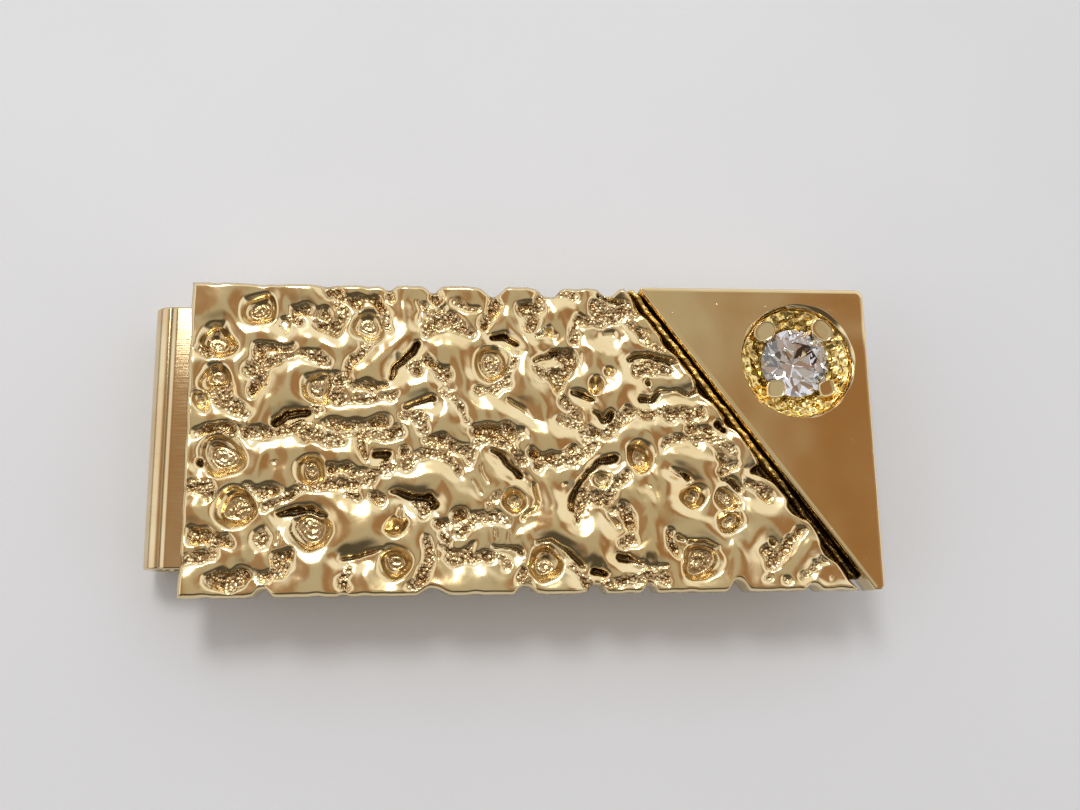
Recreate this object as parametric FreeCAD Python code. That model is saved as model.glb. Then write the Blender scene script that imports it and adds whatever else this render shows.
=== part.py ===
import FreeCAD, Part
import math
import os

# Money clip, millimetres.
# Frame: origin at the middle of the underside, +X toward the stone, +Y along the fold, +Z up from the front.
# The clip lies on the flat of its tongue, z = 0, with the decorated front facing up.

# Driving dimensions: the spring strip
strip_thickness = 0.8
strip_width = 19.0
strip_offset_y = 0.5
fold_half_height = 2.0
fold_corner_radius = 1.3
leaf_run_past_panel = 1.2
leaf_end_inset = 1.2
tongue_flat_length = 13.5
tongue_rise_angle = 7.5
tongue_fall_angle = 14.0
tongue_bend_radius = 25.0
tip_bend_radius = 8.0
tip_corner_radius = 2.5
crest_clearance = 0.05

# Driving dimensions: the decorated front
panel_length = 49.2
panel_width = 22.2
panel_thickness = 2.6
panel_corner_radius = 0.6
panel_tip_radius = 0.4
polished_edge_bevel = 0.15
groove_width = 0.84
groove_top_from_gem_end = 17.0
groove_tip_from_gem_end = 0.7
rail_width = 0.4
rail_foot_height = 1.0
rail_height = 2.0
rail_tip_gap = 0.8

# Driving dimensions: the stone and its setting
stone_diameter = 5.1
stone_from_gem_end = 5.3
stone_from_top_edge = 5.5
stone_table_ratio = 0.57
stone_star_ratio = 0.78
stone_lower_ratio = 0.42
stone_crown_angle = 34.5
stone_pavilion_angle = 40.75
stone_girdle_thickness = 0.15
stone_table_above_panel = 0.05
window_diameter = 8.2
window_bevel = 0.25
cup_rim_height = 2.0
cup_floor_height = 1.2
cup_slope_radius = 3.7
cup_seat_radius = 2.1
cup_seat_land = 0.3
culet_hole_diameter = 1.6
prong_diameter = 1.15
prong_circle_radius = 2.85
prong_height = 2.45
prong_dome = 0.2

# Driving dimensions: the nugget texture, as heights above the back of the panel
nugget_columns = 42
nugget_rows = 20
nugget_ground = 1.9
nugget_lowest = 1.0
nugget_highest = 2.7

# Places that follow from the driving dimensions
gem_end_x = (leaf_run_past_panel + fold_half_height + panel_length) / 2
fold_end_x = -gem_end_x
panel_left_x = gem_end_x - panel_length
half_width = panel_width / 2
leaf_top_z = 2 * fold_half_height
panel_top_z = leaf_top_z + panel_thickness
stone_x = gem_end_x - stone_from_gem_end
stone_y = half_width - stone_from_top_edge
groove_top_x = gem_end_x - groove_top_from_gem_end
groove_tip_x = gem_end_x - groove_tip_from_gem_end
groove_slope = (groove_tip_x - groove_top_x) / panel_width
groove_run = groove_width * math.hypot(1, groove_slope)

# Raised, melted-looking lumps of the nugget texture: x, y, radius, height
nugget_lumps = [
    (-20.5, 10.2, 2.2, 0.5), (-15.5, 10.4, 2.0, 0.6), (-11.0, 10.6, 1.6, 0.5), (-7.0, 8.2, 2.4, 0.6),
    (-3.0, 9.0, 1.8, 0.6), (2.2, 9.6, 1.8, 0.6), (-16.2, 7.9, 1.7, 0.4), (-16.0, 4.4, 2.2, 0.7),
    (-8.8, 6.4, 1.6, 0.6), (-3.6, 2.4, 1.8, 0.5), (1.8, 3.6, 2.0, 0.7), (6.2, 6.0, 2.2, 0.6),
    (2.8, 0.4, 1.8, 0.7), (-19.0, 1.8, 1.3, 0.4), (-14.5, -0.2, 1.8, 0.4), (-11.5, -1.6, 1.7, 0.5),
    (-9.0, -4.0, 2.6, 0.7), (-14.0, -4.8, 2.6, 0.7), (-19.5, -6.5, 1.6, 0.6), (-15.5, -9.8, 2.2, 0.6),
    (-3.0, -5.2, 1.8, 0.5), (1.6, -6.8, 1.8, 0.6), (5.0, -8.2, 2.0, 0.6), (-1.0, -10.4, 1.8, 0.4),
    (9.0, -4.6, 1.8, 0.6), (12.2, -5.6, 1.6, 0.6), (12.0, -2.6, 1.8, 0.7), (18.4, -6.4, 1.8, 0.7),
    (17.0, -8.8, 1.6, 0.5), (20.8, -9.6, 1.6, 0.4), (11.2, 8.0, 1.3, 0.4), (15.6, -1.2, 1.5, 0.4),
]

# Pits of the nugget texture: x, y, radius, depth
nugget_pits = [
    (-18.0, 9.4, 1.5, 1.0), (-21.2, 7.2, 1.4, 1.1), (-21.2, 4.4, 1.3, 0.9), (-20.8, 2.4, 1.4, 0.9),
    (-13.4, 8.8, 1.4, 1.0), (-10.4, 9.2, 1.5, 1.1), (-13.4, 4.0, 1.5, 0.8), (-10.0, 4.4, 1.3, 1.0),
    (-6.6, 5.0, 1.7, 0.9), (-1.6, 5.6, 1.6, 0.9), (-1.0, 10.2, 1.0, 1.0), (1.0, 9.8, 0.9, 1.1),
    (2.2, 7.8, 1.2, 1.2), (3.2, 5.2, 1.6, 1.2), (7.0, 9.2, 2.0, 0.9), (9.6, 5.2, 1.5, 1.1),
    (5.6, 3.6, 1.0, 1.1), (4.0, 1.8, 1.0, 1.0), (-16.0, 2.0, 1.3, 1.0), (-21.0, -0.6, 1.5, 1.0),
    (-20.4, -2.6, 1.3, 0.9), (-14.6, -2.4, 1.2, 0.9), (-2.0, 0.2, 2.2, 0.9), (-19.4, -5.2, 1.5, 1.1),
    (-14.2, -7.0, 1.8, 1.0), (-17.8, -7.2, 0.8, 1.1), (-21.2, -8.0, 1.2, 1.0), (-20.0, -10.0, 1.5, 1.0),
    (-8.6, -8.8, 1.4, 1.1), (-7.6, -6.2, 1.1, 0.9), (-0.6, -4.4, 1.6, 0.9), (2.2, -9.2, 1.6, 1.1),
    (6.2, -4.4, 1.9, 0.9), (8.0, -6.4, 1.1, 1.1), (9.4, -1.4, 1.1, 1.0), (8.0, -10.2, 1.3, 1.0),
    (11.2, 2.4, 1.6, 0.9), (13.0, 0.2, 1.4, 0.9), (13.4, -9.2, 1.6, 1.1), (15.4, -5.2, 1.5, 1.1),
    (12.6, -4.0, 1.0, 1.1), (17.4, -3.8, 1.2, 1.0), (19.2, -8.6, 1.3, 0.9), (15.2, -2.2, 0.9, 0.9),
]


def strip_outline(start_x, start_z, heading_degrees, steps):
    """Closed side view of a strip whose middle line walks along straights and bends.

    A step is (length,) for a straight, or (radius, degrees) for a bend, positive to the left.
    """
    x, z = start_x, start_z
    heading = math.radians(heading_degrees)
    half = strip_thickness / 2
    left_edges = []
    right_edges = []

    def beside(px, pz, angle, offset):
        return FreeCAD.Vector(px - offset * math.sin(angle), 0, pz + offset * math.cos(angle))

    first_left = beside(x, z, heading, half)
    first_right = beside(x, z, heading, -half)
    for step in steps:
        left_start = beside(x, z, heading, half)
        right_start = beside(x, z, heading, -half)
        if len(step) == 1:
            x += step[0] * math.cos(heading)
            z += step[0] * math.sin(heading)
            left_edges.append(Part.makeLine(left_start, beside(x, z, heading, half)))
            right_edges.append(Part.makeLine(right_start, beside(x, z, heading, -half)))
            continue
        radius, turn = step[0], math.radians(step[1])
        side = math.copysign(1, turn)
        centre_x = x - side * radius * math.sin(heading)
        centre_z = z + side * radius * math.cos(heading)
        middle = heading + turn / 2
        middle_x = centre_x + side * radius * math.sin(middle)
        middle_z = centre_z - side * radius * math.cos(middle)
        heading += turn
        x = centre_x + side * radius * math.sin(heading)
        z = centre_z - side * radius * math.cos(heading)
        left_middle = beside(middle_x, middle_z, middle, half)
        right_middle = beside(middle_x, middle_z, middle, -half)
        left_edges.append(Part.Arc(left_start, left_middle, beside(x, z, heading, half)).toShape())
        right_edges.append(Part.Arc(right_start, right_middle, beside(x, z, heading, -half)).toShape())
    last_left = beside(x, z, heading, half)
    last_right = beside(x, z, heading, -half)
    caps = [Part.makeLine(first_left, first_right), Part.makeLine(last_left, last_right)]
    edges = left_edges + right_edges + caps
    return Part.Face(Part.Wire(Part.__sortEdges__(edges)))


def strip_from_outline(outline):
    """The outline pushed out to the width of the strip, which sits a little to one side of the middle."""
    outline.translate(FreeCAD.Vector(0, strip_offset_y - strip_width / 2, 0))
    return outline.extrude(FreeCAD.Vector(0, strip_width, 0))


def upright_prism(corners, bottom_z, top_z):
    """A flat-topped block with the given plan corners."""
    points = [FreeCAD.Vector(x, y, bottom_z) for x, y in corners]
    face = Part.Face(Part.makePolygon(points + points[:1]))
    return face.extrude(FreeCAD.Vector(0, 0, top_z - bottom_z))


def upright_cylinder(radius, height, x, y, z):
    return Part.makeCylinder(radius, height, FreeCAD.Vector(x, y, z))


def groove_x(y):
    """X of the polished side of the slanting groove at a given Y."""
    return groove_top_x + (half_width - y) * groove_slope


def groove_band(left_fraction, right_fraction, bottom_z, top_z):
    """A slanting block across part of the groove, whose nugget side is 0 and whose polished side is 1."""
    corners = []
    for fraction, y in ((left_fraction, half_width), (right_fraction, half_width),
                        (right_fraction, -half_width), (left_fraction, -half_width)):
        corners.append((groove_x(y) - groove_run * (1 - fraction), y))
    return upright_prism(corners, bottom_z, top_z)


def nugget_height(x, y):
    """Height of the nugget texture above the back of the panel: a rippled ground with lumps and pits."""
    height = nugget_ground + 0.15 * math.sin(1.9 * x + 0.8 * y) * math.sin(2.3 * y - 0.6 * x)
    for lump_x, lump_y, radius, rise in nugget_lumps:
        spread = math.hypot(x - lump_x, y - lump_y) / radius
        height += rise * math.exp(-spread ** 2)
    for pit_x, pit_y, radius, depth in nugget_pits:
        spread = math.hypot(x - pit_x, y - pit_y) / radius
        height -= depth * math.exp(-spread ** 4)
    return min(max(height, nugget_lowest), nugget_highest)


def make_nugget_panel():
    """Panel with a modelled top: a closed block whose upper side is a net of small flat facets."""
    bottom = {}
    top = {}
    for row in range(nugget_rows + 1):
        y = -half_width + panel_width * row / nugget_rows
        right_x = groove_x(y) - groove_run
        for column in range(nugget_columns + 1):
            x = panel_left_x + (right_x - panel_left_x) * column / nugget_columns
            bottom[row, column] = FreeCAD.Vector(x, y, leaf_top_z)
            top[row, column] = FreeCAD.Vector(x, y, leaf_top_z + nugget_height(x, y))
    faces = []
    for row in range(nugget_rows):
        for column in range(nugget_columns):
            near_left = top[row, column]
            near_right = top[row, column + 1]
            far_left = top[row + 1, column]
            far_right = top[row + 1, column + 1]
            faces.append(Part.Face(Part.makePolygon([near_left, near_right, far_right, near_left])))
            faces.append(Part.Face(Part.makePolygon([near_left, far_right, far_left, near_left])))
    last_row, last_column = nugget_rows, nugget_columns
    all_columns = range(last_column + 1)
    all_rows = range(last_row + 1)
    rims = [
        [(0, column) for column in all_columns],
        [(last_row, column) for column in all_columns],
        [(row, 0) for row in all_rows],
        [(row, last_column) for row in all_rows],
    ]
    for rim in rims:
        points = [bottom[rim[0]]] + [top[place] for place in rim] + [bottom[rim[-1]], bottom[rim[0]]]
        faces.append(Part.Face(Part.makePolygon(points)))
    foot = [(0, 0), (0, last_column), (last_row, last_column), (last_row, 0), (0, 0)]
    faces.append(Part.Face(Part.makePolygon([bottom[place] for place in foot])))
    solid = Part.makeSolid(Part.makeShell(faces))
    if solid.Volume < 0:
        solid.reverse()
    return solid


def upright_edges(block, x, y):
    """The upright edges of a block that stand at one plan corner."""
    found = []
    for edge in block.Edges:
        middle = edge.CenterOfMass
        if edge.BoundBox.ZLength > panel_thickness / 2 and math.hypot(middle.x - x, middle.y - y) < 0.01:
            found.append(edge)
    return found


def make_corner_panel():
    """Polished triangle with bevelled top edges, rounded outer corners and a round window for the stone."""
    corners = [(groove_x(half_width), half_width), (gem_end_x, half_width),
               (gem_end_x, -half_width), (groove_x(-half_width), -half_width)]
    block = upright_prism(corners, leaf_top_z, panel_top_z)
    for side, radius in ((1, panel_corner_radius), (-1, panel_tip_radius)):
        block = block.makeFillet(radius, upright_edges(block, gem_end_x, side * half_width))
    rim = [edge for edge in block.Edges if edge.BoundBox.ZMin > panel_top_z - 0.01]
    block = block.makeChamfer(polished_edge_bevel, rim)
    window = upright_cylinder(window_diameter / 2, panel_thickness, stone_x, stone_y, leaf_top_z)
    bevel = Part.makeCone(window_diameter / 2, window_diameter / 2 + window_bevel, window_bevel,
                          FreeCAD.Vector(stone_x, stone_y, panel_top_z - window_bevel))
    return block.cut(window).cut(bevel)


def make_divider_rail():
    """Low foot as wide as the groove with a narrow bead on it, stopping short of the groove's tip."""
    foot = groove_band(0, 1, leaf_top_z, leaf_top_z + rail_foot_height)
    side = (1 - rail_width / groove_width) / 2
    bead = groove_band(side, 1 - side, leaf_top_z, leaf_top_z + rail_height)
    tip_y = rail_tip_gap - half_width
    corner = FreeCAD.Vector(0, tip_y, leaf_top_z)
    run = Part.makeBox(panel_length, half_width - tip_y, panel_thickness, corner)
    return foot.fuse(bead).removeSplitter().common(run)


def stone_girdle_z():
    """Height of the lower edge of the stone's girdle."""
    radius = stone_diameter / 2
    crown_height = radius * (1 - stone_table_ratio) * math.tan(math.radians(stone_crown_angle))
    return panel_top_z + stone_table_above_panel - crown_height - stone_girdle_thickness


def make_gemstone():
    """Round brilliant with its table, 32 crown facets, 16-sided girdle and 24 pavilion facets."""
    radius = stone_diameter / 2
    girdle_bottom_z = stone_girdle_z()
    girdle_top_z = girdle_bottom_z + stone_girdle_thickness
    crown_slope = math.tan(math.radians(stone_crown_angle))
    pavilion_slope = math.tan(math.radians(stone_pavilion_angle))
    half_step = math.pi / 8

    def point(step, distance, z):
        angle = step * half_step
        return FreeCAD.Vector(stone_x + distance * math.cos(angle), stone_y + distance * math.sin(angle), z)

    star_radius = radius * stone_star_ratio
    lower_radius = radius * stone_lower_ratio
    table_z = girdle_top_z + radius * (1 - stone_table_ratio) * crown_slope
    star_z = girdle_top_z + (radius - star_radius * math.cos(half_step)) * crown_slope
    lower_z = girdle_bottom_z - (radius - lower_radius * math.cos(half_step)) * pavilion_slope
    culet = point(0, 0, girdle_bottom_z - radius * pavilion_slope)
    table = [point(step, radius * stone_table_ratio, table_z) for step in range(0, 16, 2)]
    outlines = [table]
    for step in range(0, 16, 2):
        top_point = point(step, radius * stone_table_ratio, table_z)
        next_top = point(step + 2, radius * stone_table_ratio, table_z)
        star_before = point(step - 1, star_radius, star_z)
        star_after = point(step + 1, star_radius, star_z)
        lower_before = point(step - 1, lower_radius, lower_z)
        lower_after = point(step + 1, lower_radius, lower_z)
        upper = [point(step + turn, radius, girdle_top_z) for turn in range(3)]
        under = [point(step + turn, radius, girdle_bottom_z) for turn in range(3)]
        outlines.append([top_point, star_before, upper[0], star_after])
        outlines.append([top_point, star_after, next_top])
        outlines.append([star_after, upper[0], upper[1]])
        outlines.append([star_after, upper[1], upper[2]])
        outlines.append([upper[0], under[0], under[1], upper[1]])
        outlines.append([upper[1], under[1], under[2], upper[2]])
        outlines.append([lower_after, under[0], under[1]])
        outlines.append([lower_after, under[1], under[2]])
        outlines.append([culet, lower_before, under[0], lower_after])
    faces = [Part.Face(Part.makePolygon(outline + outline[:1])) for outline in outlines]
    solid = Part.makeSolid(Part.makeShell(faces))
    if solid.Volume < 0:
        solid.reverse()
    return solid


def prong_places():
    """Name and centre of each claw, on the diagonals round the stone."""
    reach = prong_circle_radius / math.sqrt(2)
    for row_name, row_sign in (("upper", 1), ("lower", -1)):
        for side_name, side_sign in (("left", -1), ("right", 1)):
            name = f"prong_{row_name}_{side_name}"
            yield name, stone_x + side_sign * reach, stone_y + row_sign * reach


def make_stone_cup(stone):
    """Dish that fills the window, with a seat cut to the stone and four holes for the claws."""
    slope = math.tan(math.radians(stone_pavilion_angle))
    seat_top_z = stone_girdle_z() - (stone_diameter / 2 - cup_seat_radius) * slope
    seat_bottom_radius = cup_seat_radius - (seat_top_z - leaf_top_z) / slope
    side_view = [
        (seat_bottom_radius, leaf_top_z),
        (window_diameter / 2, leaf_top_z),
        (window_diameter / 2, leaf_top_z + cup_rim_height),
        (cup_slope_radius, leaf_top_z + cup_rim_height),
        (cup_seat_radius + cup_seat_land, leaf_top_z + cup_floor_height),
        (cup_seat_radius, seat_top_z),
    ]
    points = [FreeCAD.Vector(stone_x + distance, stone_y, z) for distance, z in side_view]
    profile = Part.Face(Part.makePolygon(points + points[:1]))
    cup = profile.revolve(FreeCAD.Vector(stone_x, stone_y, 0), FreeCAD.Vector(0, 0, 1), 360)
    for _, x, y in prong_places():
        cup = cup.cut(upright_cylinder(prong_diameter / 2, panel_thickness, x, y, leaf_top_z))
    return cup.cut(stone)


def make_prong(x, y, stone):
    """Claw with a softened head, notched where it grips the stone's girdle."""
    claw = upright_cylinder(prong_diameter / 2, prong_height, x, y, leaf_top_z)
    head = [edge for edge in claw.Edges if edge.BoundBox.ZMin > leaf_top_z + prong_height - 0.01]
    return claw.makeFillet(prong_dome, head).cut(stone)


def make_clip_front_leaf():
    """Flat leaf under both panels with the upper half of the fold, and a hole under the stone's point."""
    middle_radius = fold_corner_radius - strip_thickness / 2
    leaf_length = gem_end_x - leaf_end_inset - (fold_end_x + fold_corner_radius)
    steps = [(leaf_length,), (middle_radius, 90), (fold_half_height - fold_corner_radius,)]
    outline = strip_outline(gem_end_x - leaf_end_inset, leaf_top_z - strip_thickness / 2, 180, steps)
    leaf = strip_from_outline(outline)
    culet_hole = upright_cylinder(culet_hole_diameter / 2, leaf_top_z, stone_x, stone_y, 0)
    return leaf.cut(culet_hole)


def make_clip_tongue():
    """Lower half of the fold, a flat to lie on, a rise to the gripping crest and a flared tip."""
    middle_radius = fold_corner_radius - strip_thickness / 2
    rise = math.radians(tongue_rise_angle)
    fall = math.radians(tongue_fall_angle)
    crest_height = leaf_top_z - 2 * strip_thickness - crest_clearance
    rise_by_bends = 2 * tongue_bend_radius * (1 - math.cos(rise))
    fall_by_bends = (tongue_bend_radius + tip_bend_radius) * (1 - math.cos(fall))
    steps = [
        (fold_half_height - fold_corner_radius,),
        (middle_radius, 90),
        (tongue_flat_length,),
        (tongue_bend_radius, tongue_rise_angle),
        ((crest_height - rise_by_bends) / math.sin(rise),),
        (tongue_bend_radius, -tongue_rise_angle - tongue_fall_angle),
        ((crest_height - fall_by_bends) / math.sin(fall),),
        (tip_bend_radius, tongue_fall_angle),
    ]
    outline = strip_outline(fold_end_x + strip_thickness / 2, fold_half_height, -90, steps)
    tongue = strip_from_outline(outline)
    tip_corners = []
    for edge in tongue.Edges:
        box = edge.BoundBox
        if box.XMin > 0 and box.XLength < 0.01 and box.YLength < 0.01:
            tip_corners.append(edge)
    return tongue.makeFillet(tip_corner_radius, tip_corners)


def main():
    os.makedirs("parts", exist_ok=True)
    stone = make_gemstone()
    shapes = {
        "nugget_panel": make_nugget_panel(),
        "corner_panel": make_corner_panel(),
        "divider_rail": make_divider_rail(),
        "stone_cup": make_stone_cup(stone),
        "gemstone": stone,
        "clip_front_leaf": make_clip_front_leaf(),
        "clip_tongue": make_clip_tongue(),
    }
    for name, x, y in prong_places():
        shapes[name] = make_prong(x, y, stone)
    for name, shape in shapes.items():
        print(name, "valid", shape.isValid(), "solids", len(shape.Solids), "volume", round(shape.Volume, 2))
        shape.exportStep(f"parts/{name}.step")


main()
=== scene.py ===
import math

import bmesh
import bpy
import numpy as np
from mathutils import Matrix, Vector
from mathutils.geometry import tessellate_polygon


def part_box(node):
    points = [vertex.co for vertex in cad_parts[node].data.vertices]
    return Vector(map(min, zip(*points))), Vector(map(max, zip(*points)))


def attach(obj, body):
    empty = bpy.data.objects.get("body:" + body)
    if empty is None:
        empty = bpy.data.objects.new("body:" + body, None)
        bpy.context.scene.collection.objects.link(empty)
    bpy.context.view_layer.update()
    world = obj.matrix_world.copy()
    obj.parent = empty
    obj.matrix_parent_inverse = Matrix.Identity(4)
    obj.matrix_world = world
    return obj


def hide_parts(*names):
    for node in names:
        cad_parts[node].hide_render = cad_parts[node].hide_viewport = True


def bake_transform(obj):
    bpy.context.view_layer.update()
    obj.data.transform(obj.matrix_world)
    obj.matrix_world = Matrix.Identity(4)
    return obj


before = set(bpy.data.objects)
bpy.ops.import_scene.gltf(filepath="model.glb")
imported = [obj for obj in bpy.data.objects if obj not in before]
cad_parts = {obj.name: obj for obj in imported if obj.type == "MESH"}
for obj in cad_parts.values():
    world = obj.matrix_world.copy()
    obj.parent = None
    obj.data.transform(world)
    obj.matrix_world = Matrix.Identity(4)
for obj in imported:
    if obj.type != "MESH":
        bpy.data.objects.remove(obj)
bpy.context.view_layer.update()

# Money clip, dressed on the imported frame. Shapes are worked out in millimetres in the frame's axes
# and turned into metres when a mesh is made.
MM = 0.001


def box_mm(node):
    """Low and high corner of a CAD node in millimetres."""
    low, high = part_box(node)
    return low / MM, high / MM


# Places read from the frame, millimetres
nugget_low, nugget_high = box_mm("nugget_panel")
corner_low, corner_high = box_mm("corner_panel")
rail_low, rail_high = box_mm("divider_rail")
stone_low, stone_high = box_mm("gemstone")
cup_low, cup_high = box_mm("stone_cup")
leaf_low, leaf_high = box_mm("clip_front_leaf")
half_width = nugget_high.y
panel_base_z = nugget_low.z
panel_top_z = corner_high.z
groove_run = corner_low.x - rail_low.x
groove_top_x = corner_low.x
groove_tip_x = nugget_high.x + groove_run
groove_slope = (groove_tip_x - groove_top_x) / (2 * half_width)
stone_x = (stone_low.x + stone_high.x) / 2
stone_y = (stone_low.y + stone_high.y) / 2
stone_radius = (stone_high.x - stone_low.x) / 2
window_radius = (cup_high.x - cup_low.x) / 2

# Polished panel and its window, millimetres. Corner radii run from the pointed end round by the stone's end,
# the shoulder is (inset, drop) from the rolled edge to the flat top, and the window's bevel is wider about
# one angle, in degrees, where it was ground flat.
corner_radii = [0.05, 0.4, 0.6, 0.1]
corner_steps = 8
smallest_rounding = 0.02
wall_levels = 3
panel_edge_roll = 0.12
roll_steps = 6
panel_shoulder = [(0.17, 0.014), (0.24, 0.006), (0.30, 0.0)]
window_levels = 6
window_sides = 160
window_bevel = 0.2
window_bevel_depth = 0.34
window_wall_depth = 1.2
window_flat_middle = 52
window_flat_spread = 20

# The bead in the groove, millimetres. Wear lowers it toward the pointed end, and between the two heights
# its painted shade gives way to bright gold.
bead_half_width = 0.30
bead_shift = 0.09
bead_skirt = 0.04
bead_foot_height = 0.9
bead_neck = 0.15
bead_steps = 12
bead_stations = 230
bead_wear = -0.35
bead_shade_below = 4.95
bead_unshaded_above = 5.35

# Spring strip, millimetres and degrees
strip_thickness = 0.8
strip_half_width = (leaf_high.y - leaf_low.y) / 2
strip_middle_y = (leaf_high.y + leaf_low.y) / 2
strip_edge_radius = 0.18
strip_station = 0.5
edge_steps = 5
culet_hole_radius = 0.8
culet_hole_sides = 48
fold_corner_radius = 1.3
fold_start_x = leaf_low.x + fold_corner_radius
tongue_flat_length = 13.5
tongue_rise_angle = 7.5
tongue_fall_angle = 14.0
tongue_bend_radius = 25.0
tip_bend_radius = 8.0
tip_corner_radius = 2.5
crest_height = leaf_high.z - 2 * strip_thickness - 0.05

# Setting and stone, millimetres and degrees; the ratios are shares of the stone's radius
cup_sides = 180
cup_slope_rows = 14
cup_seat_height = 1.2
claw_sides = 40
claw_top_gap = 0.04
stone_crown_angle = 34.5
stone_pavilion_angle = 40.75
stone_half_girdle = 0.075
stone_table_ratio = 0.57
stone_star_ratio = 0.78
stone_lower_ratio = 0.42
stone_step_angle = 22.5
stone_blank_sides = 128
stone_lean = 1.5
stone_turn = 9
stone_table_gap = 0.03

# Claws: offset of the head (x, y), long and short half axes, turn in degrees, squareness and the slope of
# the top toward +X and +Y
claw_shapes = {
    "prong_upper_left": (-0.3, 0.28, 0.88, 0.72, 30, 2.1, 0.06, 0.24),
    "prong_upper_right": (0.05, 0.40, 0.95, 0.68, -45, 2.3, 0.06, 0.20),
    "prong_lower_left": (0.3, -0.05, 0.82, 0.74, 45, 1.5, 0.09, 0.0),
    "prong_lower_right": (0.1, 0.0, 0.76, 0.66, 60, 1.45, -0.02, 0.03),
}
# Rings of a claw from foot to the middle of its top: size against the outline, and height share
claw_rings = [(0.6, 0.0), (0.65, 0.5), (0.85, 0.78), (0.98, 0.86), (1.0, 0.92), (0.97, 0.96), (0.92, 0.978),
              (0.89, 0.978), (0.85, 0.968), (0.82, 0.966), (0.5, 0.966), (0.2, 0.966)]

# Camera, lens in millimetres on a 36 mm wide sensor, and its places in millimetres
camera_sensor = 36.0
camera_lens = 36.67
camera_place_mm = (-5.34, -13.63, 83.31)
camera_target_mm = (1.74, 2.21, 6.6)
camera_up = (-0.003, 0.979, 0.202)
camera_clip_m = (0.002, 5.0)

# Floor in millimetres, and the soft lamp in metres and watts
floor_reach = 600.0
floor_lines = 9
lamp_place_m = (-0.05, 0.155, 0.26)
lamp_size_m = 0.08
lamp_power = 0.26
lamp_colour = (1.0, 0.99, 0.97)

# Colours of the surroundings, linear light values
room_ceiling = (0.52, 0.49, 0.42, 1)
room_walls = (1.0, 1.0, 1.02, 1)
room_low = (0.35, 0.34, 0.33, 1)
room_brown = (0.35, 0.20, 0.10, 1)
room_dark = (0.09, 0.08, 0.065, 1)
room_window = (1.0, 1.02, 1.06, 1)
# Where each colour starts and is full, as the height of a direction or as its lean X / Z or Y / Z
walls_height = (0.93, 0.72)
low_height = (0.3, 0.08)
near_brown_rise, near_brown_fall = (0.17, 0.38), (1.1, 0.6)
near_brown_front, near_brown_back = (0.42, 0.28), (-0.6, -0.3)
far_brown_rise, far_brown_fall = (-0.12, -0.25), (-1.1, -0.5)
far_brown_share = 0.85
dark_rise, dark_beside = (-0.25, -0.8), (1.6, 0.9)
window_rise, window_fall = (0.45, 0.95), (3.0, 1.4)
smallest_height = 0.05

# Colours of the metal and the paper, linear
bright_gold = (0.87, 0.71, 0.42, 1)
deep_gold = (0.83, 0.64, 0.34, 1)
worn_gold = (0.80, 0.65, 0.40, 1)
brown_gold = (0.74, 0.55, 0.31, 1)
yellow_gold = (0.96, 0.74, 0.28, 1)
# The next colour serves both real specks on the polished plate and painted shade in the cast panel's hollows;
# the one after it is near-black painted shade in deep clefts and low in the groove
tarnish_and_shade = (0.30, 0.17, 0.07, 1)
near_black_shade = (0.06, 0.035, 0.018, 1)
stone_clear = (0.97, 0.97, 1.0, 1)
stone_haze = (0.90, 0.90, 0.96, 1)
paper_shade = (0.82, 0.845, 0.885, 1)
paper_light = (0.85, 0.875, 0.915, 1)

# Nugget texture, millimetres. A wave is (height, length).
slow_warp = (0.14, 2.6)
quick_warp = (0.03, 1.1)
outline_wave = (0.12, 1.5)
slow_ground = (0.08, 5.5)
quick_ground = (0.012, 2.6)
mean_length_share = 0.84
skirt_layers = 5
skirt_wobble = 0.03
nugget_step = 0.105
plateau_drop = 0.28
plateau_dome = 0.32
dome_reach = 0.75
dome_blur = 2
hollow_rim = 0.28
hollow_wall = 0.42
cleft_slope = [(0.2, 0.75), (0.45, 0.45), (0.7, 0.2)]
cleft_blur = 3
cleft_rim = 0.1
# Clefts deeper than this are darkened with painted shade
shaded_cleft_depth = 0.85
hollow_merge = 0.16
hollow_merge_trim = 0.03
grainy_start = 0.1
grainy_blend = 0.3
grainy_wall = 0.35
grainy_depth = 0.62
lip_height = 0.02
lip_width = 0.14
edge_roll = 0.32
edge_roll_drop = 0.34
inner_start = 0.05
inner_blend = 0.3
pit_wall_share = 0.25
pit_core_share = 0.55
pit_core_blend = 0.25
ring_pitch = 0.34
ring_height = 0.055
grain_size = 0.44
grain_height = 0.2
grain_sink = 0.06
full_hollow = 0.8
nugget_floor = 0.75

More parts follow.
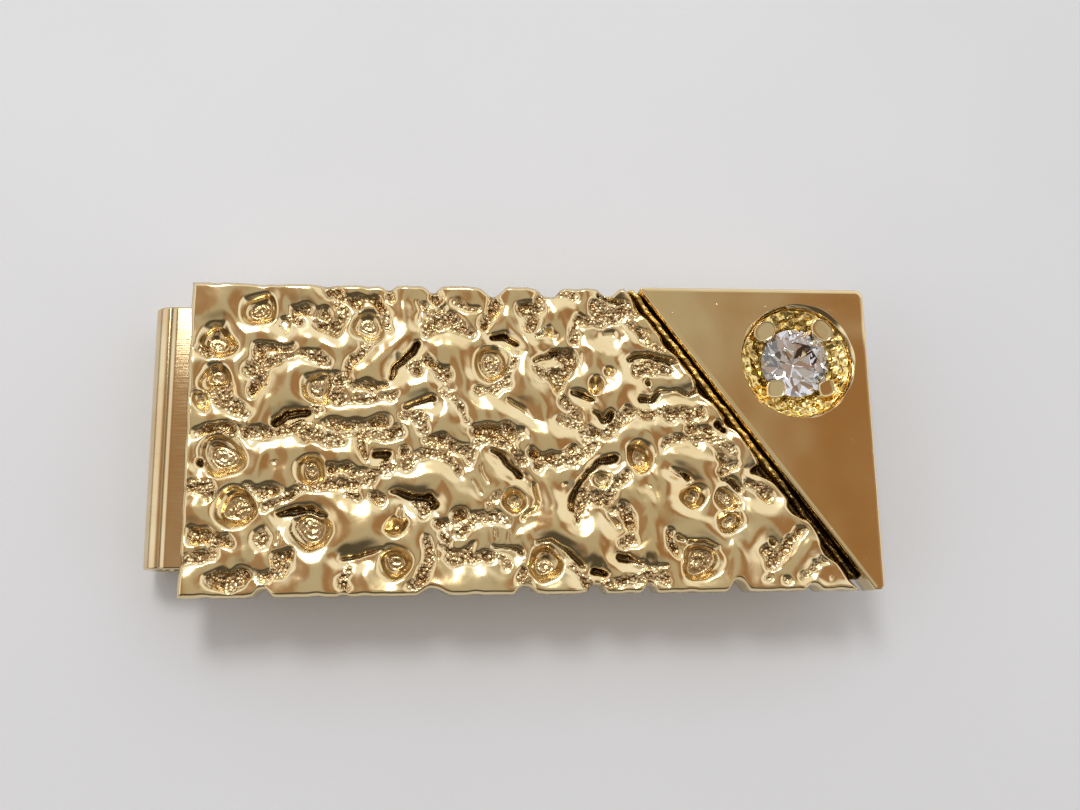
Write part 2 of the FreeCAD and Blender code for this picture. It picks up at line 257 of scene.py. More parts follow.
# Hollows with a floor of little shiny grains: depth, then the points (x, y, half width) along each one
grainy_hollows = [
    (1.0, [(-15.6, 9.05, 0.35), (-14.8, 8.95, 0.45)]),
    (0.5, [(-16.2, 8.6, 0.35), (-15.4, 8.3, 0.35)]),
    (1.0, [(-13.7, 8.95, 0.42)]),
    (0.9, [(-13.4, 10.6, 0.4)]),
    (0.8, [(-13.9, 8.1, 0.45), (-12.9, 8.1, 0.75)]),
    (0.7, [(-22.2, 6.3, 0.35), (-21.5, 5.9, 0.35)]),
    (0.7, [(-20.9, 3.2, 0.7), (-20.0, 2.4, 0.5), (-19.4, 1.8, 0.5), (-18.9, 1.4, 0.3)]),
    (0.9, [(-18.3, 6.1, 0.5), (-17.2, 6.3, 0.4), (-16.2, 6.45, 0.25), (-15.8, 6.6, 0.15)]),
    (0.8, [(-18.2, 5.6, 0.5), (-18.5, 4.7, 0.55), (-18.1, 4.0, 0.5), (-18.7, 3.2, 0.3)]),
    (0.6, [(-17.6, 5.2, 0.5), (-16.6, 5.9, 0.3), (-15.3, 6.0, 0.4), (-14.2, 5.6, 0.45), (-13.4, 5.2, 0.4)]),
    (0.5, [(-14.0, 1.9, 0.5)]),
    (0.7, [(-18.8, 0.1, 0.5), (-17.5, 0.2, 0.5), (-16.2, 0.5, 0.5), (-15.0, 0.4, 0.5), (-13.6, 0.1, 0.5)]),
    (1.0, [(-21.8, 0.3, 0.5), (-20.8, 0.6, 0.5), (-20.0, 0.4, 0.5)]),
    (0.5, [(-22.4, -3.6, 0.45), (-21.4, -3.4, 0.6), (-21.1, -4.2, 0.4)]),
    (0.7, [(-18.4, -3.6, 0.3), (-17.6, -3.9, 0.35)]),
    (1.1, [(-16.9, -3.6, 0.5)]),
    (0.6, [(-17.3, -4.9, 0.4), (-16.4, -4.6, 0.35), (-15.6, -4.1, 0.3), (-14.8, -3.6, 0.35),
           (-13.4, -3.4, 0.4)]),
    (1.0, [(-22.3, -6.9, 0.4), (-21.2, -7.0, 0.5), (-20.2, -7.2, 0.4), (-19.6, -7.4, 0.25)]),
    (0.6, [(-22.6, -8.5, 0.4), (-21.6, -8.2, 0.5), (-20.8, -7.8, 0.4)]),
    (0.8, [(-17.6, -7.1, 0.6)]),
    (0.9, [(-16.6, -8.6, 0.45), (-15.6, -8.4, 0.4)]),
    (0.7, [(-17.2, -9.8, 0.4), (-16.4, -9.4, 0.5), (-15.8, -9.0, 0.4)]),
    (0.9, [(-20.6, -9.8, 0.55), (-19.6, -10.0, 0.7), (-18.9, -9.7, 0.5), (-18.2, -9.4, 0.35)]),
    (0.9, [(-12.6, 10.5, 0.35), (-11.9, 9.9, 0.35), (-11.3, 9.4, 0.3)]),
    (1.0, [(-11.0, 10.1, 0.25), (-10.0, 9.95, 0.35), (-9.7, 9.5, 0.35)]),
    (0.6, [(-12.7, 9.5, 0.45), (-12.3, 9.1, 0.35)]),
    (0.6, [(-9.3, 9.4, 0.3), (-9.3, 8.5, 0.35), (-8.8, 7.8, 0.25)]),
    (0.6, [(-8.9, 10.25, 0.35)]),
    (0.6, [(-6.6, 9.8, 0.25), (-6.3, 9.0, 0.3), (-6.3, 8.2, 0.4), (-6.4, 7.5, 0.35)]),
    (1.1, [(-5.9, 10.4, 0.4), (-5.5, 10.1, 0.45)]),
    (0.6, [(-4.5, 9.8, 0.2), (-3.6, 9.5, 0.25), (-2.8, 9.4, 0.25)]),
    (0.7, [(-5.6, 8.5, 0.6), (-4.5, 8.4, 0.55), (-3.8, 8.0, 0.4), (-3.2, 7.7, 0.35)]),
    (0.6, [(-10.7, 6.7, 0.35), (-11.4, 5.7, 0.4), (-11.8, 4.8, 0.35), (-11.8, 3.9, 0.3)]),
    (0.7, [(-7.2, 5.0, 0.5), (-6.6, 5.6, 0.4), (-6.0, 5.3, 0.4), (-5.5, 4.8, 0.4),
           (-5.0, 4.2, 0.4), (-4.6, 3.5, 0.3)]),
    (0.9, [(-11.6, 3.4, 0.2), (-10.8, 3.7, 0.27), (-10.0, 3.8, 0.27), (-9.2, 3.9, 0.27)]),
    (0.6, [(-12.9, 4.2, 0.5), (-12.6, 3.2, 0.6), (-12.4, 2.6, 0.45)]),
    (0.5, [(-11.5, 2.6, 0.32), (-10.5, 2.75, 0.32), (-9.4, 2.9, 0.3), (-8.8, 2.9, 0.3)]),
    (1.0, [(-13.4, 0.85, 0.25), (-12.0, 0.85, 0.25), (-10.5, 0.9, 0.28), (-9.2, 1.0, 0.38)]),
    (0.7, [(-12.8, 0.1, 0.3), (-11.0, 0.25, 0.3), (-9.5, 0.25, 0.3), (-8.3, 0.4, 0.35)]),
    (0.6, [(-7.6, 1.4, 0.5), (-6.8, 1.3, 0.5), (-6.4, 0.7, 0.4)]),
    (0.5, [(-5.0, 3.2, 0.25), (-4.5, 2.8, 0.25), (-3.9, 2.0, 0.25), (-3.6, 1.2, 0.3)]),
    (0.5, [(-13.0, -0.4, 0.35), (-12.0, -0.45, 0.3)]),
    (0.6, [(-10.7, -0.5, 0.4), (-10.5, -1.4, 0.3)]),
    (0.5, [(-9.7, 0.1, 0.3), (-8.9, 0.05, 0.3)]),
    (0.8, [(-12.9, -2.5, 0.35), (-12.0, -2.35, 0.25), (-11.0, -2.45, 0.25)]),
    (0.6, [(-7.8, -1.2, 0.5)]),
    (0.6, [(-10.2, -2.6, 0.4), (-9.3, -2.4, 0.45), (-8.4, -2.2, 0.4), (-7.5, -1.8, 0.35)]),
    (0.6, [(-13.0, -3.3, 0.35), (-12.0, -3.3, 0.35), (-11.0, -3.3, 0.35), (-10.2, -3.1, 0.35)]),
    (0.4, [(-11.7, -4.1, 0.4), (-11.2, -4.3, 0.3)]),
    (0.5, [(-6.6, -1.4, 0.3), (-5.8, -1.2, 0.35), (-5.0, -1.4, 0.35), (-4.4, -2.0, 0.3), (-4.0, -2.8, 0.25)]),
    (0.6, [(-6.2, -0.4, 0.4), (-5.0, -0.3, 0.4), (-4.2, -0.8, 0.5), (-3.4, -1.0, 0.5), (-3.2, -1.7, 0.4)]),
    (1.0, [(-6.9, -4.7, 0.6), (-6.3, -5.2, 0.65)]),
    (0.7, [(-9.9, -4.2, 0.35), (-9.2, -4.5, 0.4)]),
    (1.0, [(-5.6, -6.1, 0.3), (-4.6, -6.0, 0.3), (-3.8, -5.6, 0.3)]),
    (0.6, [(-4.0, -6.6, 0.4), (-3.2, -6.3, 0.4), (-2.6, -5.9, 0.4), (-1.8, -5.7, 0.4), (-0.9, -5.8, 0.3)]),
    (0.6, [(-5.3, -7.0, 0.3), (-4.8, -7.4, 0.3)]),
    (0.8, [(-5.4, -7.8, 0.2), (-4.4, -8.1, 0.25), (-3.2, -7.9, 0.2)]),
    (0.6, [(-6.5, -7.3, 0.25), (-6.2, -8.2, 0.35), (-6.1, -9.2, 0.4), (-6.6, -9.9, 0.4),
           (-7.2, -10.5, 0.35)]),
    (0.6, [(-4.8, -8.8, 0.4), (-3.8, -8.7, 0.4), (-2.4, -8.4, 0.4), (-1.5, -8.6, 0.4), (-0.9, -9.0, 0.35)]),
    (0.5, [(-11.6, -9.4, 0.3), (-12.0, -10.0, 0.3), (-11.8, -10.6, 0.3)]),
    (0.8, [(-1.6, 10.4, 0.4), (-1.4, 9.6, 0.5), (-1.6, 8.8, 0.35), (-2.3, 8.3, 0.3)]),
    (0.5, [(-2.6, 3.3, 0.3), (-1.6, 3.15, 0.3), (-0.7, 3.8, 0.3), (-0.3, 5.0, 0.25), (0.1, 6.1, 0.2)]),
    (0.9, [(0.4, 9.3, 0.35), (1.2, 9.1, 0.6), (1.7, 9.6, 0.45), (2.1, 10.2, 0.35)]),
    (0.9, [(1.2, 8.9, 0.6), (1.2, 8.1, 0.35)]),
    (1.1, [(3.2, 6.1, 0.4), (4.0, 5.9, 0.45), (3.7, 5.0, 0.55), (3.0, 4.4, 0.65), (3.2, 3.5, 0.45)]),
    (0.6, [(1.5, 4.9, 0.35), (2.1, 4.5, 0.4)]),
    (1.1, [(-2.5, 0.4, 0.4), (-1.5, 0.4, 0.6), (-0.4, 0.4, 0.5), (0.3, 0.0, 0.35)]),
    (0.7, [(3.6, 2.4, 0.35), (4.2, 1.9, 0.5), (4.2, 1.3, 0.4)]),
    (0.5, [(3.4, 1.2, 0.2), (4.2, 0.7, 0.2), (4.9, 0.2, 0.3)]),
    (0.7, [(5.6, 0.2, 0.5), (6.4, 0.4, 0.5), (7.3, 1.0, 0.5), (8.0, 1.6, 0.4)]),
    (0.8, [(5.9, 9.5, 0.5), (6.8, 9.3, 0.6), (7.6, 9.2, 0.6)]),
    (0.7, [(5.6, 8.6, 0.4), (6.4, 8.7, 0.4), (7.4, 8.8, 0.4)]),
    (0.7, [(4.6, 8.9, 0.3), (4.5, 8.2, 0.3), (4.6, 7.5, 0.4), (4.5, 7.0, 0.3)]),
    (0.4, [(3.6, 10.6, 0.3), (4.3, 10.6, 0.3)]),
    (0.6, [(-2.4, -0.3, 0.4), (-1.7, -0.3, 0.4), (-0.8, -0.5, 0.4), (-0.2, -0.9, 0.4), (0.5, -1.7, 0.4)]),
    (1.0, [(1.2, -1.3, 0.25), (2.0, -1.6, 0.3), (2.9, -1.5, 0.3), (3.4, -1.2, 0.25), (4.2, -1.0, 0.25)]),
    (0.6, [(1.6, -2.2, 0.35), (2.6, -1.9, 0.35), (3.4, -1.9, 0.35), (4.3, -1.6, 0.4),
           (5.3, -1.1, 0.3), (5.6, -0.6, 0.4)]),
    (0.5, [(-1.3, -4.2, 0.3), (-1.9, -4.8, 0.3)]),
    (0.7, [(3.8, -9.3, 0.35), (4.4, -9.8, 0.4), (4.9, -10.4, 0.3)]),
    (0.6, [(0.5, -9.4, 0.4), (0.4, -10.1, 0.35), (1.0, -10.3, 0.3)]),
    (0.7, [(4.7, -4.4, 0.5), (4.6, -5.2, 0.5), (4.3, -6.0, 0.35)]),
    (0.7, [(5.6, -4.5, 0.5), (6.6, -4.2, 0.5), (7.2, -3.6, 0.4), (7.8, -2.9, 0.35)]),
    (0.9, [(6.8, -5.2, 0.4), (7.4, -5.2, 0.45), (8.0, -5.8, 0.5), (8.1, -6.4, 0.4)]),
    (0.7, [(8.1, -7.5, 0.5), (7.8, -7.8, 0.4)]),
    (0.6, [(6.2, -10.4, 0.35), (7.0, -10.5, 0.35), (8.0, -10.3, 0.4), (8.7, -10.0, 0.4)]),
    (0.5, [(8.0, 9.5, 0.4), (8.7, 9.5, 0.35), (9.1, 9.1, 0.3)]),
    (0.5, [(8.6, 8.4, 0.3), (8.9, 7.8, 0.35), (9.6, 7.1, 0.3), (10.3, 7.0, 0.35), (10.6, 6.6, 0.3)]),
    (0.7, [(8.8, 5.0, 0.5), (9.6, 5.1, 0.6), (10.4, 5.2, 0.5), (11.2, 5.0, 0.45)]),
    (0.6, [(9.0, 1.7, 0.4), (9.9, 1.7, 0.4), (10.6, 2.0, 0.35), (11.5, 1.6, 0.5), (12.6, 1.7, 0.5),
           (13.6, 1.7, 0.4)]),
    (0.9, [(12.6, 0.5, 0.25), (13.4, 0.65, 0.3), (14.0, 0.4, 0.3)]),
    (0.6, [(10.6, -0.6, 0.4), (11.4, -0.2, 0.35), (12.4, -0.2, 0.45), (13.2, -0.2, 0.4), (14.0, -0.4, 0.35)]),
    (0.6, [(14.9, -0.5, 0.4), (15.5, -0.9, 0.4)]),
    (0.9, [(15.0, -1.5, 0.3), (15.3, -2.2, 0.5), (14.9, -2.6, 0.35)]),
    (0.9, [(11.0, -7.1, 0.35), (10.9, -7.7, 0.4), (11.2, -8.2, 0.3)]),
    (0.6, [(9.4, -9.8, 0.35), (10.2, -10.0, 0.4), (10.5, -10.5, 0.3)]),
    (0.8, [(17.0, -3.4, 0.35), (17.6, -4.1, 0.5), (18.3, -4.2, 0.4)]),
    (0.8, [(17.9, -8.3, 0.45), (18.2, -9.0, 0.5), (19.0, -8.1, 0.4), (19.8, -7.5, 0.45), (20.3, -7.1, 0.3)]),
    (0.7, [(17.8, -10.3, 0.25)]),
    (0.7, [(19.0, -10.4, 0.25)]),
    (0.7, [(20.3, -10.2, 0.25), (21.2, -9.7, 0.25), (21.7, -9.0, 0.2)]),
]

# Round pits with rings inside, like a drop that froze: depth, x, y, radius
ringed_pits = [
    (0.8, -18.3, 9.3, 1.15), (0.95, -21.1, 6.8, 1.15), (0.8, -21.1, 4.1, 1.05), (0.6, -22.0, 2.6, 0.72),
    (0.7, -13.9, 3.6, 1.2), (0.95, -20.4, -1.3, 1.55), (1.0, -19.4, -5.0, 1.4), (0.85, -14.3, -2.4, 1.1),
    (0.9, -14.3, -6.4, 1.5), (0.75, -10.5, 8.0, 1.15), (0.5, -5.3, 9.3, 0.45), (0.9, -8.3, -6.3, 0.7),
    (0.95, -8.5, -8.8, 1.2), (0.8, -1.6, 5.3, 1.3), (0.85, 5.9, 3.8, 0.5), (0.6, 6.9, 4.8, 0.28),
    (1.0, 2.0, -9.0, 1.2), (0.7, 6.2, -3.0, 0.75), (0.95, 8.9, -1.5, 0.95), (0.9, 12.8, -4.2, 0.8),
    (0.85, 15.2, -4.6, 0.9), (0.9, 15.3, -6.1, 0.9), (0.95, 13.1, -8.9, 1.35), (0.8, -0.1, -4.7, 0.85),
]

# Smooth-walled clefts and dimples, the deepest with painted shade: depth, then the points (x, y, half width)
smooth_hollows = [
    (0.35, [(-16.6, 8.2, 0.7), (-16.5, 7.7, 0.4)]),
    (0.95, [(-16.9, 1.1, 0.4), (-16.0, 1.7, 0.45), (-14.9, 1.5, 0.45)]),
    (0.9, [(-21.9, -1.9, 0.4)]),
    (0.3, [(-16.7, -1.9, 0.15)]),
    (0.4, [(-16.4, -6.3, 0.1), (-16.4, -7.4, 0.1)]),
    (1.1, [(-16.2, -5.5, 0.3), (-15.2, -5.2, 0.35), (-14.2, -5.1, 0.35), (-13.2, -5.4, 0.3)]),
    (0.2, [(-10.6, 10.55, 0.1), (-9.7, 10.55, 0.1)]),
    (0.4, [(-7.1, 10.0, 0.1), (-6.85, 9.0, 0.18), (-7.0, 8.4, 0.2)]),
    (1.0, [(-7.0, 6.7, 0.35), (-7.5, 6.1, 0.4), (-8.2, 5.2, 0.35), (-8.8, 4.4, 0.25)]),
    (0.9, [(-7.6, 2.1, 0.25), (-6.6, 2.6, 0.3), (-5.9, 2.7, 0.3)]),
    (1.0, [(-9.8, -1.2, 0.35), (-9.1, -1.4, 0.35)]),
    (1.0, [(-8.6, -4.0, 0.25), (-7.4, -4.2, 0.4), (-6.2, -4.3, 0.45), (-5.7, -4.9, 0.5)]),
    (0.5, [(-8.2, -5.6, 0.3), (-8.2, -5.1, 0.25)]),
    (0.9, [(-12.0, -8.5, 0.25), (-11.0, -8.4, 0.22), (-10.0, -8.1, 0.18), (-9.4, -7.9, 0.12)]),
    (1.1, [(-1.6, 7.4, 0.35), (-0.7, 7.4, 0.4), (0.0, 6.8, 0.3)]),
    (0.6, [(1.6, 7.4, 0.2), (2.4, 7.8, 0.35), (3.0, 7.5, 0.2)]),
    (1.0, [(1.4, 5.5, 0.18), (2.2, 5.75, 0.25), (3.1, 6.2, 0.35)]),
    (0.25, [(4.75, 6.0, 0.15), (4.65, 5.2, 0.15)]),
    (0.6, [(-0.5, 2.6, 0.18), (0.2, 2.2, 0.22), (0.9, 1.7, 0.2), (1.3, 1.3, 0.1)]),
    (1.0, [(4.2, 3.2, 0.22), (5.0, 3.25, 0.32), (5.6, 2.8, 0.28)]),
    (1.0, [(5.6, 1.7, 0.22), (6.3, 1.4, 0.28), (6.9, 1.6, 0.35)]),
    (1.0, [(6.2, 10.3, 0.28), (6.8, 10.1, 0.28), (7.8, 10.0, 0.25)]),
    (0.22, [(6.4, 7.5, 0.5), (7.1, 7.5, 0.5)]),
    (1.1, [(-1.8, -1.2, 0.22), (-0.8, -1.7, 0.32), (-0.2, -2.2, 0.32), (0.2, -2.8, 0.38)]),
    (0.3, [(-2.5, -2.2, 0.12), (-1.9, -3.2, 0.12)]),
    (0.3, [(-2.9, -3.0, 0.12), (-2.5, -3.9, 0.12)]),
    (0.35, [(3.4, -3.4, 0.25)]),
    (0.7, [(1.3, -3.4, 0.22), (1.45, -4.6, 0.25), (1.3, -5.4, 0.25), (0.4, -5.9, 0.22)]),
    (0.3, [(-1.4, -6.5, 0.12), (-1.4, -7.2, 0.12)]),
    (0.3, [(-0.45, -6.6, 0.1), (-0.45, -7.4, 0.1)]),
    (0.9, [(-1.6, -7.8, 0.15), (-0.4, -8.0, 0.22), (0.2, -8.3, 0.28)]),
    (0.9, [(1.4, -7.75, 0.18), (2.4, -7.55, 0.18), (3.3, -8.0, 0.22), (4.0, -8.6, 0.28), (4.8, -9.2, 0.28)]),
    (1.2, [(5.5, -9.5, 0.38), (6.0, -9.7, 0.32)]),
    (1.0, [(6.9, -1.6, 0.4), (6.1, -1.8, 0.35), (5.2, -2.4, 0.28), (4.6, -3.2, 0.3),
           (4.2, -4.2, 0.3), (4.0, -5.2, 0.3)]),
    (0.6, [(6.5, -5.6, 0.12), (7.2, -6.4, 0.2)]),
    (1.1, [(7.2, -8.6, 0.28), (7.9, -8.6, 0.3), (8.6, -8.9, 0.2), (9.6, -9.35, 0.14), (10.4, -9.3, 0.1)]),
    (0.9, [(8.4, 5.7, 0.3), (9.2, 5.85, 0.3), (10.2, 5.95, 0.3), (10.9, 5.6, 0.28), (11.6, 5.6, 0.25)]),
    (0.9, [(9.7, 3.9, 0.3)]),
    (1.1, [(9.2, 2.7, 0.28), (10.0, 3.0, 0.28), (10.6, 3.4, 0.18), (11.6, 3.25, 0.13),
           (12.6, 3.0, 0.18), (13.3, 3.4, 0.25)]),
    (1.2, [(14.9, 0.8, 0.4), (15.2, 0.3, 0.35)]),
    (1.0, [(11.2, -2.3, 0.1), (11.8, -2.7, 0.22), (12.2, -3.1, 0.28)]),
    (1.0, [(14.9, -3.2, 0.18), (15.8, -3.3, 0.3), (16.2, -3.7, 0.28)]),
    (0.4, [(9.4, -3.6, 0.14)]),
    (0.9, [(11.7, -7.2, 0.22), (12.1, -7.4, 0.18)]),
    (0.9, [(12.4, -7.6, 0.2), (13.4, -7.6, 0.22), (14.2, -8.1, 0.18)]),
    (1.2, [(17.3, -2.5, 0.3), (17.9, -2.9, 0.25)]),
    (1.0, [(18.1, -7.6, 0.3)]),
    (0.3, [(22.5, -10.2, 0.1)]),
    (0.25, [(23.4, -10.1, 0.08)]),
]

# Bites out of the long edges: x, half width, depth
upper_edge_bites = [(-9.1, 0.5, 0.25), (-5.9, 0.5, 0.35), (-1.5, 0.8, 0.6), (2.6, 0.7, 0.75), (7.0, 0.6, 0.6)]
lower_edge_bites = [(-17.4, 0.5, 0.55), (-11.9, 0.4, 0.15), (-5.8, 0.9, 0.45), (0.6, 0.6, 0.55),
                    (5.6, 0.55, 0.65), (9.4, 0.45, 0.55), (15.7, 0.6, 0.75), (21.1, 0.5, 0.45)]
# Bites out of the slanting edge beside the groove: y, half width, depth
groove_edge_bites = [(9.5, 0.6, 0.2), (6.8, 0.5, 0.3), (3.3, 0.7, 0.3), (0.6, 0.5, 0.4), (-2.6, 0.5, 0.5),
                     (-5.4, 0.6, 0.55), (-8.4, 0.6, 0.5)]


def smooth(value):
    """Soft step from 0 to 1."""
    value = np.clip(value, 0, 1)
    return value * value * (3 - 2 * value)


def ripple(x, y, wavelength, seed):
    """Gentle noise between about -1 and 1: a sum of waves of one length in many directions."""
    chance = np.random.default_rng(seed)
    total = np.zeros_like(x)
    waves = 9
    for _ in range(waves):
        angle = chance.uniform(0, 2 * math.pi)
        phase = chance.uniform(0, 2 * math.pi)
        rate = 2 * math.pi / (wavelength * chance.uniform(0.75, 1.4))
        total += np.sin(rate * (x * math.cos(angle) + y * math.sin(angle)) + phase)
    return total / math.sqrt(waves)


def grains(x, y, size, seed):
    """Round grains scattered one to a cell: height 0 to 1 of the highest grain over each point."""
    chance = np.random.default_rng(seed)
    count = 256
    shift_x = chance.uniform(0.1, 0.9, (count, count))
    shift_y = chance.uniform(0.1, 0.9, (count, count))
    reach = chance.uniform(0.45, 1.0, (count, count))
    column = np.floor(x / size).astype(int)
    row = np.floor(y / size).astype(int)
    best = np.zeros_like(x)
    for step_x in (-1, 0, 1):
        for step_y in (-1, 0, 1):
            i = column + step_x
            j = row + step_y
            centre_x = (i + shift_x[i % count, j % count]) * size
            centre_y = (j + shift_y[i % count, j % count]) * size
            radius = reach[i % count, j % count] * size
            away = np.hypot(x - centre_x, y - centre_y) / radius
            best = np.maximum(best, np.sqrt(np.clip(1 - away ** 2, 0, 1)) * radius / size)
    return best


def inside_stroke(x, y, points):
    """How far each place lies inside a stroke of changing half width; negative outside."""
    best = np.full_like(x, -1e9)
    if len(points) == 1:
        points = points * 2
    for (ax, ay, ar), (bx, by, br) in zip(points, points[1:]):
        run_x, run_y = bx - ax, by - ay
        length = max(run_x ** 2 + run_y ** 2, 1e-9)
        share = np.clip(((x - ax) * run_x + (y - ay) * run_y) / length, 0, 1)
        away = np.hypot(x - ax - share * run_x, y - ay - share * run_y)
        best = np.maximum(best, ar + share * (br - ar) - away)
    return best


def blur(field, reach):
    """Softens a grid: a moving mean over 2 * reach + 1 places each way, three times over."""
    for _ in range(3):
        for axis in (0, 1):
            widths = [(reach + 1, reach) if axis == way else (0, 0) for way in (0, 1)]
            total = np.cumsum(np.pad(field, widths, mode="edge"), axis)
            count = field.shape[axis]
            far = np.take(total, range(2 * reach + 1, 2 * reach + 1 + count), axis)
            near = np.take(total, range(count), axis)
            field = (far - near) / (2 * reach + 1)
    return field


def wave(x, y, height_and_length, seed):
    """A ripple of the given height and length."""
    height, length = height_and_length
    return height * ripple(x, y, length, seed)


def round_step(step, sides):
    """Angle of a step round a circle of so many sides."""
    return 2 * math.pi * step / sides


def groove_x(y):
    """X of the polished side of the slanting groove."""
    return groove_top_x + (half_width - y) * groove_slope


def edge_bites(x, bites):
    """How far an edge is eaten in: a slight wave everywhere, and a bite at each listed place."""
    total = 0.04 * np.sin(1.7 * x) + 0.03 * np.sin(4.1 * x + 1.0)
    for bite_x, reach, depth in bites:
        total = total + depth * np.exp(-np.abs((x - bite_x) / reach) ** 3)
    return np.maximum(total, 0)


def nugget_relief(x, y, border):
    """Height above the panel's back, and how hollow, how grainy and how darkened by painted shade (each 0 to
    1) each place is.
    """
    warp_x = x + wave(x, y, slow_warp, 11) + wave(x, y, quick_warp, 12)
    warp_y = y + wave(x, y, slow_warp, 13) + wave(x, y, quick_warp, 14)
    rings = np.zeros_like(x)
    weight = np.full_like(x, 1e-9)
    deep = np.zeros_like(x)
    for depth, points in grainy_hollows:
        share = np.exp(np.clip(inside_stroke(warp_x, warp_y, points) / hollow_merge, -30, 12))
        weight += share
        deep += share * depth
    inside = hollow_merge * np.log(weight) - hollow_merge_trim + wave(x, y, outline_wave, 15)
    nearest = np.maximum(inside, -3.0)
    sunk = grainy_depth * deep / weight * smooth((inside + hollow_rim) / (hollow_rim + grainy_wall))
    grainy = smooth((inside + grainy_start) / grainy_blend)
    cleft_shade = np.zeros_like(x)
    slope = np.zeros_like(x)
    for depth, points in smooth_hollows:
        inside = inside_stroke(warp_x, warp_y, points)
        nearest = np.maximum(nearest, inside)
        fall = smooth((inside + cleft_rim) / (cleft_rim + hollow_wall))
        sunk = np.maximum(sunk, depth * fall)
        # The deepest clefts get a mask for painted shade
        if depth > shaded_cleft_depth:
            cleft_shade = np.maximum(cleft_shade, smooth((inside + inner_start) / inner_blend))
        for shift, part in cleft_slope:
            inside = inside_stroke(warp_x, warp_y + shift, points)
            fall = smooth((inside + hollow_rim) / (hollow_rim + hollow_wall))
            slope = np.maximum(slope, part * depth * fall)
    sunk = np.maximum(sunk, blur(slope, cleft_blur))
    for depth, pit_x, pit_y, radius in ringed_pits:
        away = np.hypot(warp_x - pit_x, warp_y - pit_y)
        inside = radius - away
        nearest = np.maximum(nearest, inside)
        fall = smooth((inside + hollow_rim) / (hollow_rim + hollow_wall + pit_wall_share * radius))
        sunk = np.maximum(sunk, depth * fall)
        strength = smooth((inside + inner_start) / inner_blend)
        rings += strength * np.cos(2 * math.pi * away / ring_pitch + 0.6 * np.sin(3 * warp_x + 2 * warp_y))
        core = smooth((pit_core_share * radius - away) / pit_core_blend)
        core = core * (0.45 + 0.25 * np.sin(2.1 * warp_y - 1.3 * warp_x))
        grainy = np.maximum(grainy, core)
    outside = np.maximum(-nearest, 0)
    top = panel_top_z - panel_base_z - plateau_drop
    height = top + blur(plateau_dome * (1 - np.exp(-(outside / dome_reach) ** 2)), dome_blur)
    height += wave(x, y, slow_ground, 21) + wave(x, y, quick_ground, 22)
    height += lip_height * np.exp(-((nearest + 0.10) / lip_width) ** 2)
    height -= sunk
    height += ring_height * rings
    height += grainy * (grain_height * grains(x, y, grain_size, 31) - grain_sink)
    height -= edge_roll_drop * (1 - smooth(border / edge_roll)) ** 2
    hollow = np.clip(sunk / full_hollow, 0, 1)
    return np.maximum(height, nugget_floor), hollow, np.clip(grainy, 0, 1), cleft_shade


def new_mesh(name, vertices, faces):
    """Mesh from millimetre vertices, in metres."""
    mesh = bpy.data.meshes.new(name)
    mesh.from_pydata([tuple(v) for v in np.asarray(vertices, float) * MM], [], [tuple(f) for f in faces])
    mesh.polygons.foreach_set("use_smooth", [True] * len(mesh.polygons))
    mesh.validate()
    mesh.update()
    return mesh


def place(name, mesh, material, body, slot, *nodes):
    """Puts a finished mesh in the scene as a piece that rides on a body and stands for CAD nodes."""
    piece = bpy.data.objects.new(name, mesh)
    bpy.context.scene.collection.objects.link(piece)
    mesh.materials.append(material)
    if body:
        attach(piece, body)
    if nodes:
        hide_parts(*nodes)
    return piece


def grid_faces(rows, columns):
    """Quads between neighbouring rows of a grid of vertices."""
    faces = []
    for row in range(rows - 1):
        for column in range(columns - 1):
            a = row * columns + column
            faces.append((a, a + 1, a + 1 + columns, a + columns))
    return faces


def add_attribute(mesh, name, values):
    """One number for each vertex, which the materials read by name."""
    layer = mesh.attributes.new(name, "FLOAT", "POINT")
    layer.data.foreach_set("value", np.asarray(values, np.float32))


